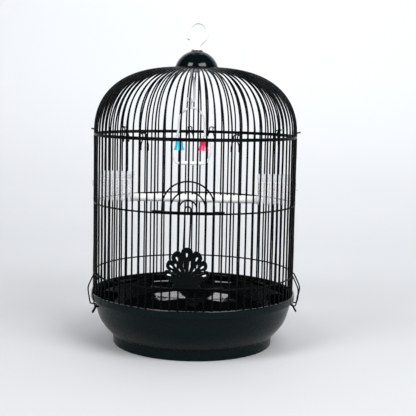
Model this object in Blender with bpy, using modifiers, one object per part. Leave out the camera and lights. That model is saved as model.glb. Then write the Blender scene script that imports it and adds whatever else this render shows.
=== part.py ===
"""Round wire bird cage on a plastic tray.

Metres, +Z up. The origin is the centre of the tray's foot, on the surface that the cage stands on.
The door faces -Y. An azimuth is in degrees, 0 at the door's middle and positive towards +X.
"""
import bpy
import bmesh
from math import asin, atan2, cos, degrees, hypot, pi, radians, sin, sqrt
from mathutils import Matrix, Vector

MM = 0.001
CLEARANCE = 0.3 * MM

# Tray
RIM_RADIUS = 162.5 * MM
RIM_Z = 83.5 * MM
RIM_BAND = 10.7 * MM
RIM_LIP = 2.3 * MM
RIM_OVERHANG = 4.5 * MM
RIM_ROUND = 1.6 * MM
FOOT_RADIUS = 127.5 * MM
STEP_Z = 17.5 * MM
STEP_LEDGE = 2.5 * MM
TRAY_WALL = 2.2 * MM
TRAY_FLOOR = 2.4 * MM
LEDGE_DEPTH = 3.6 * MM
LEDGE_INSET = 5.0 * MM
TRAY_BULGE = 6.3 * MM
TRAY_SEGMENTS = 56

# Wire grids of the wall and the dome
WIRE = 2.2 * MM
WIRE_COUNT = 80
LOWER_SPAN = 32.5 * MM
DOOR_SPAN = 111.1 * MM
UPPER_SPAN = 104.9 * MM
DOME_HEIGHT = 105.0 * MM
DOME_SIDE_POWER = 2.84
DOME_TOP_POWER = 2.32
DOME_BENDS = 5
SHOULDER_RADIUS = 41.5 * MM
HUB_RADIUS = 31.0 * MM
HUB_WIRE_SHARE = 0.72

# Hairpin clips that hold the dome on the wall
CLIP_WIRE = 1.8 * MM
CLIP_LEG = 21.0 * MM
CLIP_SHOULDER = 8.0 * MM
CLIP_TAB = 6.0 * MM
CLIP_TAB_RISE = 4.5 * MM
CLIP_TAB_HALF_WIDTH = 3.2 * MM
CLIP_GAPS = (-38.5, -28.5, -19.5, -5.5, 5.5, 19.5, 27.5, 38.5)

# Door
DOOR_HALF_PITCHES = 4
DOOR_WIRE = 2.2 * MM
DOOR_CLEARANCE = 0.5 * MM
DOOR_RETURN = 12.0 * MM
OUTER_ARCH_RISE = 44.6 * MM
SECOND_ARCH_RISE = 30.1 * MM
THIRD_ARCH_RISE = 17.8 * MM
INNER_ARCH_RISE = 8.6 * MM
INNER_ARCH_LEAN = 4.0 * MM
ARCHES = ((3.0, OUTER_ARCH_RISE, 0.0), (2.0, SECOND_ARCH_RISE, 0.0), (1.0, THIRD_ARCH_RISE, 0.0),
          (0.33, INNER_ARCH_RISE, INNER_ARCH_LEAN))

# Ornamental plate on the door
PLATE_WIDTH = 67.0 * MM
PLATE_HEIGHT = 60.0 * MM
PLATE_THICKNESS = 2.4 * MM
PLATE_RIBS = 7
PLATE_SCALLOP = 6.0 * MM
PLATE_BASE_HEIGHT = 14.0 * MM
PLATE_SLOT = 3.2 * MM
PLATE_SLOT_START = 8.0 * MM
PLATE_SLOT_END = 27.0 * MM
PLATE_CLIP = 5.2 * MM
PLATE_CLIP_HEIGHTS = (0.12, 0.66)

# Latches
LATCH_WIRE = 1.8 * MM
LATCH_GAP_LEFT = -14.5
LATCH_GAP_RIGHT = 18.5
LATCH_EYE = 3.4 * MM
LATCH_EYE_START = 215.0
LATCH_SHOULDER = 4.6 * MM
LATCH_SHOULDER_DROP = 8.0 * MM
LATCH_BOW_DROP = 20.0 * MM
LATCH_RIM_DROP = 3.0 * MM
LATCH_BOW = 12.4 * MM
LATCH_HOOK_DROP = 3.4 * MM
LATCH_TUCK = 2.8 * MM
LATCH_TAIL = 11.5 * MM
LATCH_TAIL_REACH = 6.5 * MM
LATCH_TAIL_HALF_WIDTH = 2.3 * MM

# Feeder cups and perch
CUP_DEPTH = 52.5 * MM
CUP_WIDTH = 60.0 * MM
CUP_HEIGHT = 43.5 * MM
CUP_WALL = 1.6 * MM
CUP_CHAMFER = 12.0 * MM
CUP_LIP = 1.2 * MM
CUP_LIP_HEIGHT = 5.0 * MM
TAB_WIDTH = 5.6 * MM
TAB_REACH = 3.6 * MM
TAB_HEIGHT = 10.0 * MM
TAB_RISE = 21.0 * MM
FOOT_TAB_HEIGHT = 3.0 * MM
PERCH_DIAMETER = 12.0 * MM
SOCKET_WALL = 1.5 * MM
SOCKET_DEPTH = 4.5 * MM
SOCKET_PROUD = 2.5 * MM

# Cap, hub and hook
CAP_RADIUS = 33.5 * MM
CAP_HEIGHT = 25.0 * MM
CAP_WALL = 1.8 * MM
CAP_RIDGE_RADIUS = 9.5 * MM
CAP_RIDGE = 0.9 * MM
HUB_PLATE_THICKNESS = 1.6 * MM
HOOK_WIRE = 5.8 * MM
HOOK_TIP = 6.8 * MM
COLLAR_RADIUS = 8.1 * MM
COLLAR_HEIGHT = 3.4 * MM
RETAINER_RADIUS = 5.4 * MM
RETAINER_THICKNESS = 2.4 * MM
HOOK_RISE = 46.5 * MM
HOOK_REACH = 15.4 * MM
HOOK_MOUTH = 13.0 * MM

# Swing
HANGER_WIRE = 3.4 * MM
HANGER_EYE_RADIUS = 9.0 * MM
HANGER_EYE_THICKNESS = 1.8 * MM
HANGER_X = -3.0 * MM
PIVOT_X = -8.0 * MM
PIVOT_RISE = 54.2 * MM
SWING_WIRE = 3.4 * MM
SWING_X = -6.3 * MM
SWING_NECK_HALF = 20.5 * MM
SWING_BELLY_HALF = 32.0 * MM
SWING_BELLY_DROP = 18.0 * MM
SWING_PERCH_DROP = 25.7 * MM
SWING_PERCH_DIAMETER = 5.8 * MM
SWING_PERCH_LENGTH = 38.0 * MM
SWING_PEG_DEPTH = 4.0 * MM
BEAD_HALF = 11.0 * MM
BEAD_DROP = 13.7 * MM
BEAD_DIAMETER = 5.4 * MM
BELL_HALF = 19.3 * MM
BELL_PEG_DROP = 39.8 * MM
BELL_PEG_WIRE = 2.4 * MM
BELL_EYE_WIRE = 1.8 * MM
BELL_TOP_DROP = 4.2 * MM
BELL_HEIGHT = 19.0 * MM
BELL_TOP_RADIUS = 5.4 * MM
BELL_MOUTH_RADIUS = 8.6 * MM
BELL_WALL = 1.2 * MM
CLAPPER_BEAD = 3.6 * MM
CLAPPER_ROD = 1.4 * MM

# Worked out from the sizes above
PITCH = 360.0 / WIRE_COUNT
HALF_WIRE = WIRE / 2
CAGE_RADIUS = RIM_RADIUS - RIM_LIP - 2 * CLEARANCE - HALF_WIRE
BOTTOM_RING_Z = RIM_Z - LEDGE_DEPTH + HALF_WIRE + CLEARANCE
LOWER_RING_Z = BOTTOM_RING_Z + LOWER_SPAN
MID_RING_Z = LOWER_RING_Z + DOOR_SPAN
TOP_RING_Z = MID_RING_Z + UPPER_SPAN
DOME_BASE_Z = TOP_RING_Z + WIRE + CLEARANCE
DOOR_RADIUS = CAGE_RADIUS + HALF_WIRE + DOOR_CLEARANCE + DOOR_WIRE / 2
DOOR_RETURN_RADIUS = 2 * CAGE_RADIUS - DOOR_RADIUS
DOOR_BAR_LIFT = HALF_WIRE + CLEARANCE + DOOR_WIRE / 2
PERCH_Z = MID_RING_Z + PERCH_DIAMETER / 2
CUP_BASE_Z = MID_RING_Z + HALF_WIRE + CLEARANCE
HUB_WIRE = WIRE * HUB_WIRE_SHARE
STEM_HOLE = HOOK_WIRE / 2 + 2 * CLEARANCE
PIVOT_Z = TOP_RING_Z + PIVOT_RISE
BEAD_Z = PIVOT_Z - BEAD_DROP
BELL_PEG_Z = BEAD_Z - BELL_PEG_DROP
SWING_BELLY_Z = BELL_PEG_Z - SWING_BELLY_DROP
SWING_PERCH_Z = SWING_BELLY_Z - SWING_PERCH_DROP


def clear_scene():
    for old in list(bpy.data.objects):
        bpy.data.objects.remove(old, do_unlink=True)


def new_collection(name):
    made = bpy.data.collections.new(name)
    bpy.context.scene.collection.children.link(made)
    return made


def material(name, colour, roughness, metallic=0.0, clear=0.0):
    made = bpy.data.materials.new(name)
    made.use_nodes = True
    shader = made.node_tree.nodes["Principled BSDF"]
    shader.inputs["Base Color"].default_value = (*colour, 1.0)
    shader.inputs["Roughness"].default_value = roughness
    shader.inputs["Metallic"].default_value = metallic
    shader.inputs["Transmission Weight"].default_value = clear
    return made


clear_scene()
PARTS = new_collection("bird_cage")
GUIDES = new_collection("guides")
BLACK_PLASTIC = material("black_plastic", (0.012, 0.017, 0.018), 0.38)
BLACK_WIRE = material("black_wire", (0.01, 0.012, 0.013), 0.3, metallic=0.3)
WHITE_PLASTIC = material("white_plastic", (0.86, 0.87, 0.88), 0.35)
CLEAR_PLASTIC = material("clear_plastic", (0.9, 0.93, 0.95), 0.12, clear=0.8)
BLUE_PLASTIC = material("blue_plastic", (0.02, 0.55, 0.85), 0.3)
RED_PLASTIC = material("red_plastic", (0.82, 0.03, 0.12), 0.3)
STEEL = material("steel", (0.55, 0.56, 0.57), 0.35, metallic=1.0)


def around(radius, azimuth, z):
    """The point at a radius and an azimuth in degrees."""
    turn = radians(azimuth)
    return Vector((radius * sin(turn), -radius * cos(turn), z))


def place(name, mesh, finish, location=(0, 0, 0)):
    made = bpy.data.objects.new(name, mesh)
    made.location = location
    PARTS.objects.link(made)
    mesh.materials.clear()
    mesh.materials.append(finish)
    return made


def evaluated_mesh(source, merge=0.00001):
    """The object's mesh with its modifiers, welded and in world space, after which the object is gone."""
    bpy.context.view_layer.update()
    graph = bpy.context.evaluated_depsgraph_get()
    mesh = bpy.data.meshes.new_from_object(source.evaluated_get(graph))
    mesh.transform(source.matrix_world)
    build = bmesh.new()
    build.from_mesh(mesh)
    bmesh.ops.remove_doubles(build, verts=build.verts, dist=merge)
    bmesh.ops.recalc_face_normals(build, faces=build.faces)
    build.to_mesh(mesh)
    build.free()
    bpy.data.objects.remove(source, do_unlink=True)
    return mesh


def loose_object(mesh):
    made = bpy.data.objects.new("piece", mesh)
    GUIDES.objects.link(made)
    return made


def combine(meshes, operation="UNION"):
    """One mesh from several, by exact Booleans. A DIFFERENCE takes the others off the first."""
    result = meshes[0]
    for other in meshes[1:]:
        base = loose_object(result)
        tool = loose_object(other)
        step = base.modifiers.new("join", "BOOLEAN")
        step.operation = operation
        step.solver = "EXACT"
        step.object = tool
        result = evaluated_mesh(base)
        bpy.data.objects.remove(tool, do_unlink=True)
    return result


def centred(mesh, origin):
    """Moves the mesh so that its object can stand with its origin at the given point."""
    mesh.transform(Matrix.Translation(-Vector(origin)))
    return mesh


def tube(points, diameter, corners=0, closed=False):
    """A round wire along the points. It has 4 sides, and two more for each of corners."""
    curve = bpy.data.curves.new("wire", "CURVE")
    curve.dimensions = "3D"
    curve.bevel_depth = diameter / 2
    curve.bevel_resolution = corners
    curve.use_fill_caps = not closed
    spline = curve.splines.new("POLY")
    spline.points.add(len(points) - 1)
    for slot, point in zip(spline.points, points):
        slot.co = (*point, 1.0)
    spline.use_cyclic_u = closed
    return evaluated_mesh(loose_object(curve))


def smooth_path(points, steps=4):
    """A Catmull-Rom curve through the points, with the given number of steps from each to the next."""
    points = [Vector(p) for p in points]
    ends = [2 * points[0] - points[1]] + points + [2 * points[-1] - points[-2]]
    path = [points[0]]
    for a, b, c, d in zip(ends, ends[1:], ends[2:], ends[3:]):
        for step in range(1, steps + 1):
            t = step / steps
            path.append(0.5 * (2 * b + (c - a) * t + (2 * a - 5 * b + 4 * c - d) * t ** 2
                               + (3 * b - 3 * c + d - a) * t ** 3))
    return path


def turned(profile, segments):
    """A profile of (radius, z) points, outer side first from top to bottom, turned about Z."""
    mesh = bpy.data.meshes.new("profile")
    edges = [(i, i + 1) for i in range(len(profile) - 1) if profile[i][0] + profile[i + 1][0] > 0]
    mesh.from_pydata([(r, 0.0, z) for r, z in profile], edges, [])
    base = loose_object(mesh)
    screw = base.modifiers.new("turn", "SCREW")
    screw.steps = segments
    screw.render_steps = segments
    screw.use_merge_vertices = True
    screw.merge_threshold = 0.00001
    return evaluated_mesh(base)


def box(low, high):
    build = bmesh.new()
    bmesh.ops.create_cube(build, size=1.0)
    mesh = bpy.data.meshes.new("box")
    build.to_mesh(mesh)
    build.free()
    low, high = Vector(low), Vector(high)
    mesh.transform(Matrix.Translation((low + high) / 2) @ Matrix.Diagonal((*(high - low), 1.0)))
    return mesh


def rod(start, end, diameter, sides):
    """A round bar from one point to another."""
    start, end = Vector(start), Vector(end)
    build = bmesh.new()
    bmesh.ops.create_cone(build, cap_ends=True, segments=sides, radius1=diameter / 2, radius2=diameter / 2,
                          depth=(end - start).length)
    mesh = bpy.data.meshes.new("rod")
    build.to_mesh(mesh)
    build.free()
    turn = (end - start).to_track_quat("Z", "Y").to_matrix().to_4x4()
    mesh.transform(Matrix.Translation((start + end) / 2) @ turn)
    return mesh


def ball(centre, diameter, sides):
    build = bmesh.new()
    bmesh.ops.create_uvsphere(build, u_segments=sides, v_segments=sides // 2 + 1, radius=diameter / 2)
    mesh = bpy.data.meshes.new("ball")
    build.to_mesh(mesh)
    build.free()
    mesh.transform(Matrix.Translation(centre))
    return mesh


def ring_of_wire(centre, radius, diameter, count, corners=0):
    """A closed ring of wire in the YZ plane."""
    centre = Vector(centre)
    points = [centre + Vector((0, radius * cos(2 * pi * i / count), radius * sin(2 * pi * i / count)))
              for i in range(count)]
    return tube(points, diameter, corners, closed=True)


def outline_plate(points, thickness):
    """A flat plate in the XZ plane from a closed outline, centred on Y = 0."""
    curve = bpy.data.curves.new("outline", "CURVE")
    curve.dimensions = "2D"
    curve.fill_mode = "BOTH"
    curve.extrude = thickness / 2
    spline = curve.splines.new("POLY")
    spline.points.add(len(points) - 1)
    for slot, (x, z) in zip(spline.points, points):
        slot.co = (x, z, 0.0, 1.0)
    spline.use_cyclic_u = True
    flat = loose_object(curve)
    flat.rotation_euler = (pi / 2, 0, 0)
    return evaluated_mesh(flat)


def start_grid(radius, z):
    """A new grid with its first ring of wire crossings, the first of them at the door's middle."""
    build = bmesh.new()
    ring = [build.verts.new(around(radius, i * PITCH, z)) for i in range(WIRE_COUNT)]
    for a, b in zip(ring, ring[1:] + ring[:1]):
        build.edges.new((a, b))
    return build, ring


def next_ring(build, ring, radius, z):
    """Extrudes a ring of crossings to another radius and height, and returns the new ring."""
    edges = [build.edges.get((a, b)) for a, b in zip(ring, ring[1:] + ring[:1])]
    made = bmesh.ops.extrude_edge_only(build, edges=edges)["geom"]
    made = {v for v in made if isinstance(v, bmesh.types.BMVert)}
    moved = []
    for i, crossing in enumerate(ring):
        vert = next(e.other_vert(crossing) for e in crossing.link_edges if e.other_vert(crossing) in made)
        vert.co = around(radius, i * PITCH, z)
        moved.append(vert)
    return moved


def wires_from_grid(build, thin=()):
    """A mesh with a wire along each edge of the grid. The crossings in thin have thinner wire."""
    bmesh.ops.recalc_face_normals(build, faces=build.faces)
    build.verts.index_update()
    thin = [v.index for v in thin]
    mesh = bpy.data.meshes.new("grid")
    build.to_mesh(mesh)
    build.free()
    grid = loose_object(mesh)
    weights = grid.vertex_groups.new(name="wire")
    weights.add([v.index for v in mesh.vertices], 1.0, "REPLACE")
    weights.add(thin, HUB_WIRE_SHARE, "REPLACE")
    wires = grid.modifiers.new("wires", "WIREFRAME")
    wires.thickness = WIRE
    wires.use_boundary = True
    wires.use_even_offset = True
    wires.use_replace = True
    wires.vertex_group = "wire"
    return evaluated_mesh(grid)


def make_tray():
    """One moulded shell: rim band, curved bowl, step and foot, with a ledge for the cage's lowest ring."""
    bowl_top = RIM_RADIUS - RIM_OVERHANG
    band_z = RIM_Z - RIM_BAND
    step_radius = FOOT_RADIUS + STEP_LEDGE

    def bowl(inset, top_z, bottom_z, count=6):
        points = []
        for i in range(count + 1):
            t = i / count
            radius = bowl_top + (step_radius - bowl_top) * t + TRAY_BULGE * sin(pi * t ** 1.3)
            points.append((radius - inset, top_z + (bottom_z - top_z) * t))
        return points

    rim_inner = CAGE_RADIUS + HALF_WIRE + 2 * CLEARANCE
    ledge_z = RIM_Z - LEDGE_DEPTH
    ledge_inner = rim_inner - LEDGE_INSET
    outer = [(rim_inner, RIM_Z), (RIM_RADIUS - RIM_ROUND, RIM_Z), (RIM_RADIUS, RIM_Z - RIM_ROUND)]
    outer += [(RIM_RADIUS, band_z)]
    outer += bowl(0.0, band_z, STEP_Z)
    outer += [(FOOT_RADIUS, STEP_Z - STEP_LEDGE / 2), (FOOT_RADIUS - 1 * MM, 0.0), (0.0, 0.0)]
    inner = [(0.0, TRAY_FLOOR), (FOOT_RADIUS - 1 * MM - TRAY_WALL, TRAY_FLOOR)]
    inner += [(FOOT_RADIUS - TRAY_WALL, STEP_Z + TRAY_WALL)]
    inner += bowl(TRAY_WALL, band_z - TRAY_WALL, STEP_Z + TRAY_WALL)[::-1]
    inner += [(ledge_inner, ledge_z - TRAY_WALL), (ledge_inner, ledge_z), (rim_inner, ledge_z)]
    profile = outer + inner + [outer[0]]
    place("tray", turned(profile, TRAY_SEGMENTS), BLACK_PLASTIC)


def make_wall():
    """Four rings and eighty upright wires, with the wires left out where the door is."""
    build, ring = start_grid(CAGE_RADIUS, BOTTOM_RING_Z)
    foot = next_ring(build, ring, CAGE_RADIUS, LOWER_RING_Z)
    head = next_ring(build, foot, CAGE_RADIUS, MID_RING_Z)
    next_ring(build, head, CAGE_RADIUS, TOP_RING_Z)
    doorway = []
    for i in range(-DOOR_HALF_PITCHES, DOOR_HALF_PITCHES):
        corners = {foot[i], foot[i + 1], head[i], head[i + 1]}
        doorway += [f for f in head[i].link_faces if set(f.verts) == corners]
    bmesh.ops.delete(build, geom=doorway, context="FACES")
    place("cage_wall", wires_from_grid(build), BLACK_WIRE)


def dome_height(radius):
    """The dome's height over its base ring, at a radius."""
    share = min(1.0, radius / CAGE_RADIUS)
    return DOME_HEIGHT * (1 - share ** DOME_SIDE_POWER) ** (1 / DOME_TOP_POWER)


def dome_profile():
    """Points (radius, z) up one wire of the dome: the base ring, the bends, the shoulder ring and the hub."""
    last_turn = pi / 2 - asin((SHOULDER_RADIUS / CAGE_RADIUS) ** (DOME_SIDE_POWER / 2))
    turns = [last_turn * i / DOME_BENDS for i in range(DOME_BENDS + 1)]
    radii = [CAGE_RADIUS * cos(turn) ** (2 / DOME_SIDE_POWER) for turn in turns]
    return [(r, DOME_BASE_Z + dome_height(r)) for r in radii + [HUB_RADIUS]]


def bend_over_dome(mesh, profile, flat):
    """Carries a flat grid of straight wires onto the dome. Flat holds each profile point's radius in it."""
    for vert in mesh.vertices:
        index = round(degrees(atan2(vert.co.x, -vert.co.y)) / PITCH)
        out = around(1.0, index * PITCH, 0.0)
        aside = Vector((0, 0, 1)).cross(out)
        along = vert.co.dot(out)
        side = vert.co.dot(aside)
        near = min(range(len(flat)), key=lambda i: abs(flat[i] - along))
        low, high = max(near - 1, 0), min(near + 1, len(flat) - 1)
        tangent = (Vector(profile[high]) - Vector(profile[low])).normalized()
        point = Vector(profile[near]) + tangent * (flat[near] - along)
        point += Vector((tangent.y, -tangent.x)) * vert.co.z
        vert.co = out * point.x + aside * side + Vector((0, 0, point.y))
    return mesh


def make_dome():
    """Eighty bent wires from the base ring to the hub, crossed by the shoulder ring."""
    profile = dome_profile()
    flat = [HUB_RADIUS]
    for (r1, z1), (r2, z2) in zip(profile[::-1], profile[-2::-1]):
        flat.insert(0, flat[0] + hypot(r2 - r1, z2 - z1))
    build, ring = start_grid(flat[0], 0.0)
    rings = [ring]
    for radius in flat[1:]:
        ring = next_ring(build, ring, radius, 0.0)
        rings.append(ring)
    between = [build.edges.get((a, b)) for ring in rings[1:-2] for a, b in zip(ring, ring[1:] + ring[:1])]
    bmesh.ops.dissolve_edges(build, edges=between, use_verts=False)
    mesh = wires_from_grid(build, thin=rings[-1])
    place("cage_dome", bend_over_dome(mesh, profile, flat), BLACK_WIRE)


def make_dome_clips():
    """Hairpins that rise inside two neighbouring wires and bend out over the dome's base ring."""
    inner = CAGE_RADIUS - HALF_WIRE - CLEARANCE - CLIP_WIRE / 2
    over = DOME_BASE_Z + HALF_WIRE + CLEARANCE + CLIP_WIRE / 2
    spread = PITCH / 2
    narrow = degrees(CLIP_TAB_HALF_WIDTH / CAGE_RADIUS)
    half = [(inner, spread, over - CLIP_LEG), (inner, spread, TOP_RING_Z - CLIP_SHOULDER),
            (inner, 0.75 * spread, TOP_RING_Z - 0.4 * CLIP_SHOULDER), (inner, narrow, TOP_RING_Z + HALF_WIRE),
            (inner + CLEARANCE, narrow, over - CLIP_WIRE / 3), (CAGE_RADIUS, narrow, over + CLIP_WIRE / 9),
            (CAGE_RADIUS + CLIP_TAB * 0.8, narrow, over + CLIP_TAB_RISE * 0.75),
            (CAGE_RADIUS + CLIP_TAB, 0.45 * narrow, over + CLIP_TAB_RISE)]
    for number, gap in enumerate(CLIP_GAPS, start=1):
        azimuth = gap * PITCH
        path = [around(r, azimuth - a, z) for r, a, z in half]
        path += [around(r, azimuth + a, z) for r, a, z in reversed(half)]
        origin = around(CAGE_RADIUS, azimuth, DOME_BASE_Z)
        place(f"dome_clip_{number}", centred(tube(path, CLIP_WIRE), origin), BLACK_WIRE, origin)


def door_bar(z):
    """One bar of the door, with both ends hooked round the guide wires."""
    guide = DOOR_HALF_PITCHES * PITCH
    step = degrees(DOOR_RETURN / CAGE_RADIUS)
    reach = (DOOR_RADIUS - DOOR_RETURN_RADIUS) / 2
    path = [around(DOOR_RETURN_RADIUS, -guide + step, z)]
    for i in range(5):
        turn = pi * i / 4
        swing = degrees(reach * sin(turn) / CAGE_RADIUS)
        path.append(around(CAGE_RADIUS - reach * cos(turn), -guide - swing, z))
    path += [around(DOOR_RADIUS, -guide + 2 * guide * i / 8, z) for i in range(1, 4)]
    path.append(around(DOOR_RADIUS, 0, z))
    mirrored = [Vector((-p.x, p.y, p.z)) for p in reversed(path[:-1])]
    return tube(path + mirrored, DOOR_WIRE)


def door_arch(pitches, top, foot, lean):
    """An inverted U of wire on the door's cylinder. Its feet stand to the left of its top by the lean."""
    aside = degrees(lean / DOOR_RADIUS)
    half = CAGE_RADIUS * radians(pitches * PITCH)
    spring = top - half
    bends = 10 if pitches >= 2 else 6
    path = [around(DOOR_RADIUS, -pitches * PITCH - aside, foot)]
    for i in range(bends + 1):
        turn = pi * i / bends
        path.append(around(DOOR_RADIUS, -pitches * PITCH * cos(turn), spring + half * sin(turn)))
    path.append(around(DOOR_RADIUS, pitches * PITCH - aside, foot))
    return tube(path, DOOR_WIRE * 0.94)


def make_door():
    low = LOWER_RING_Z + DOOR_BAR_LIFT
    high = MID_RING_Z + DOOR_BAR_LIFT
    pieces = [door_bar(low), door_bar(high)]
    for pitches, rise, lean in ARCHES:
        pieces.append(door_arch(pitches, high + rise, low - DOOR_WIRE * 0.3, lean))
    origin = (0, 0, low)
    first = combine([pieces[0], pieces[2]])
    joined = combine([first] + pieces[3:] + [pieces[1]])
    place("door", centred(joined, origin), BLACK_WIRE, origin)


def plate_outline():
    """A scalloped fan over a narrow foot."""
    points = []
    steps = 8
    wide, tall = PLATE_WIDTH / 2, PLATE_HEIGHT - PLATE_BASE_HEIGHT
    for rib in range(PLATE_RIBS):
        for i in range(steps):
            turn = pi * (rib + i / steps) / PLATE_RIBS
            offset = abs(2 * i / steps - 1)
            reach = 1 / sqrt((cos(turn) / wide) ** 2 + (sin(turn) / tall) ** 2)
            radius = reach - PLATE_SCALLOP * (1 - sqrt(1 - offset ** 2))
            points.append((radius * cos(turn), PLATE_BASE_HEIGHT + radius * sin(turn)))
    points.append((PLATE_SCALLOP - wide, PLATE_BASE_HEIGHT))
    waist, foot = 0.25 * PLATE_WIDTH, 0.3 * PLATE_WIDTH
    points += [(-waist, PLATE_BASE_HEIGHT * 0.45), (-foot, PLATE_BASE_HEIGHT * 0.3), (-foot, 0.0)]
    points += [(foot, 0.0), (foot, PLATE_BASE_HEIGHT * 0.3), (waist, PLATE_BASE_HEIGHT * 0.45)]
    return points


def make_door_plate():
    """A black openwork fan with four spring clips that grip two of the door's bars."""
    back = -(DOOR_RADIUS + DOOR_WIRE / 2 + 1.2 * MM)
    foot = LOWER_RING_Z + DOOR_BAR_LIFT + DOOR_WIRE / 2 + CLEARANCE
    origin = Vector((0, back - PLATE_THICKNESS / 2, foot))
    plate = outline_plate(plate_outline(), PLATE_THICKNESS)
    plate.transform(Matrix.Translation(origin))
    leg = around(DOOR_RADIUS, PITCH, 0)
    hole = DOOR_WIRE + 2 * CLEARANCE
    solids = [plate]
    cuts = []
    for side in (-1, 1):
        x = side * leg.x
        for share in PLATE_CLIP_HEIGHTS:
            z = foot + share * PLATE_HEIGHT
            low = (x - PLATE_CLIP / 2, back - PLATE_THICKNESS * 0.4, z - PLATE_CLIP / 2)
            high = (x + PLATE_CLIP / 2, leg.y + 0.5 * MM, z + PLATE_CLIP / 2)
            solids.append(box(low, high))
            cuts.append(rod((x, leg.y, z - PLATE_CLIP), (x, leg.y, z + PLATE_CLIP), hole, 8))
    for rib in range(1, PLATE_RIBS):
        turn = pi * rib / PLATE_RIBS
        wedge = [(PLATE_SLOT_START, 0), (PLATE_SLOT_END, -PLATE_SLOT / 2), (PLATE_SLOT_END, PLATE_SLOT / 2)]
        slot = outline_plate(wedge, 1.2 * PLATE_THICKNESS)
        hub = origin + Vector((0, 0, PLATE_BASE_HEIGHT))
        slot.transform(Matrix.Translation(hub) @ Matrix.Rotation(-turn, 4, "Y"))
        cuts.append(slot)
    plate = combine([combine(solids)] + cuts, "DIFFERENCE")
    place("door_plate", centred(plate, origin), BLACK_PLASTIC, origin)


def make_latch(name, gap):
    """A one-wire clip: two eyes round the lower ring, bowed legs, a hook under the rim and a finger tail."""
    azimuth = gap * PITCH
    tail = degrees(LATCH_TAIL_HALF_WIDTH / CAGE_RADIUS)
    hook_z = RIM_Z - RIM_BAND - LATCH_HOOK_DROP - LATCH_WIRE / 2
    tuck = RIM_RADIUS - LATCH_TUCK
    outside = RIM_RADIUS + 2.5 * LATCH_WIRE
    out = CAGE_RADIUS + LATCH_BOW
    eye_z = LOWER_RING_Z - LATCH_EYE * cos(radians(15)) + LATCH_WIRE / 2 + HALF_WIRE + CLEARANCE
    turns = [radians(LATCH_EYE_START - 30 * i) for i in range(7)]
    eye = [(CAGE_RADIUS + LATCH_EYE * cos(t), eye_z + LATCH_EYE * sin(t)) for t in turns]
    legs = [(out - LATCH_SHOULDER, LOWER_RING_Z - LATCH_SHOULDER_DROP), (out, LOWER_RING_Z - LATCH_BOW_DROP),
            (out - 0.9 * LATCH_WIRE, RIM_Z - LATCH_RIM_DROP), (outside, hook_z + 0.9 * LATCH_WIRE),
            (outside - 1.1 * LATCH_WIRE, hook_z + 0.1 * LATCH_WIRE)]
    side = [(r, PITCH, z) for r, z in eye + legs]
    side += [(tuck + CLEARANCE, 0.85 * PITCH, hook_z), (tuck, 1.7 * tail, hook_z)]
    side += [(tuck + CLEARANCE, tail, hook_z - 0.1 * LATCH_TAIL)]
    side += [(tuck + 0.86 * LATCH_TAIL_REACH, tail, hook_z - 0.86 * LATCH_TAIL)]
    side += [(tuck + LATCH_TAIL_REACH, 0.5 * tail, hook_z - LATCH_TAIL)]
    path = [around(r, azimuth - a, z) for r, a, z in side]
    path += [around(r, azimuth + a, z) for r, a, z in reversed(side)]
    origin = around(CAGE_RADIUS * cos(radians(PITCH)), azimuth, LOWER_RING_Z)
    place(name, centred(tube(path, LATCH_WIRE, corners=1), origin), BLACK_WIRE, origin)


def make_cup(name, side):
    """An open clear cup with tabs through the wires and a socket for the perch. Side is -1 or 1."""
    reach = sqrt((CAGE_RADIUS - HALF_WIRE - CLEARANCE) ** 2 - (CUP_WIDTH / 2 + CUP_LIP) ** 2)
    back = reach - CUP_LIP
    front = back - CUP_DEPTH
    top = CUP_BASE_Z + CUP_HEIGHT

    def body(grow, low_cut, height_over):
        outline = [(front - grow, top + height_over), (front - grow, CUP_BASE_Z + CUP_CHAMFER),
                   (front - grow + CUP_CHAMFER * 0.8, CUP_BASE_Z - grow + low_cut),
                   (back + grow, CUP_BASE_Z - grow + low_cut), (back + grow, top + height_over)]
        solid = outline_plate(outline, CUP_WIDTH + 2 * grow)
        rounded = loose_object(solid)
        bevel = rounded.modifiers.new("edges", "BEVEL")
        bevel.width = 3 * MM + grow
        bevel.segments = 2
        bevel.limit_method = "ANGLE"
        bevel.angle_limit = radians(60)
        return evaluated_mesh(rounded)

    shell = body(0.0, 0.0, 3 * MM)
    cavity = body(-CUP_WALL, 0.0, 6 * MM)
    cut = box((front - CUP_DEPTH, -CUP_WIDTH, top), (back + CUP_DEPTH, CUP_WIDTH, top + CUP_HEIGHT))
    lip = box((front - CUP_LIP, -CUP_WIDTH / 2 - CUP_LIP, top - CUP_LIP_HEIGHT),
              (back + CUP_LIP, CUP_WIDTH / 2 + CUP_LIP, top - 0.2 * MM))
    solids = [combine([shell, cut], "DIFFERENCE"), lip]
    tab_y = CAGE_RADIUS * sin(radians(PITCH / 2))
    outside = CAGE_RADIUS + HALF_WIRE + TAB_REACH
    for end in (-1, 1):
        y = end * tab_y
        rise = CUP_BASE_Z + TAB_RISE
        solids.append(box((back - CUP_WALL / 2, y - TAB_WIDTH / 2, rise),
                          (outside, y + TAB_WIDTH / 2, rise + TAB_HEIGHT)))
        solids.append(box((back - CUP_WALL / 2, y - TAB_WIDTH / 2, CUP_BASE_Z),
                          (outside - TAB_REACH / 2, y + TAB_WIDTH / 2, CUP_BASE_Z + FOOT_TAB_HEIGHT)))
    socket = PERCH_DIAMETER + 2 * CLEARANCE + 2 * SOCKET_WALL
    mouth = front - SOCKET_PROUD
    solids.append(rod((mouth, 0, PERCH_Z), (front + CUP_CHAMFER, 0, PERCH_Z), socket, 16))
    floor = mouth + SOCKET_DEPTH
    bore = rod((mouth - 1 * MM, 0, PERCH_Z), (floor, 0, PERCH_Z), PERCH_DIAMETER + 2 * CLEARANCE, 16)
    cup = combine([combine(solids), cavity, bore], "DIFFERENCE")
    if side < 0:
        cup.transform(Matrix.Rotation(pi, 4, "Z"))
    origin = (side * (front + back) / 2, 0, CUP_BASE_Z)
    place(name, centred(cup, origin), CLEAR_PLASTIC, origin)
    return floor


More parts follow.
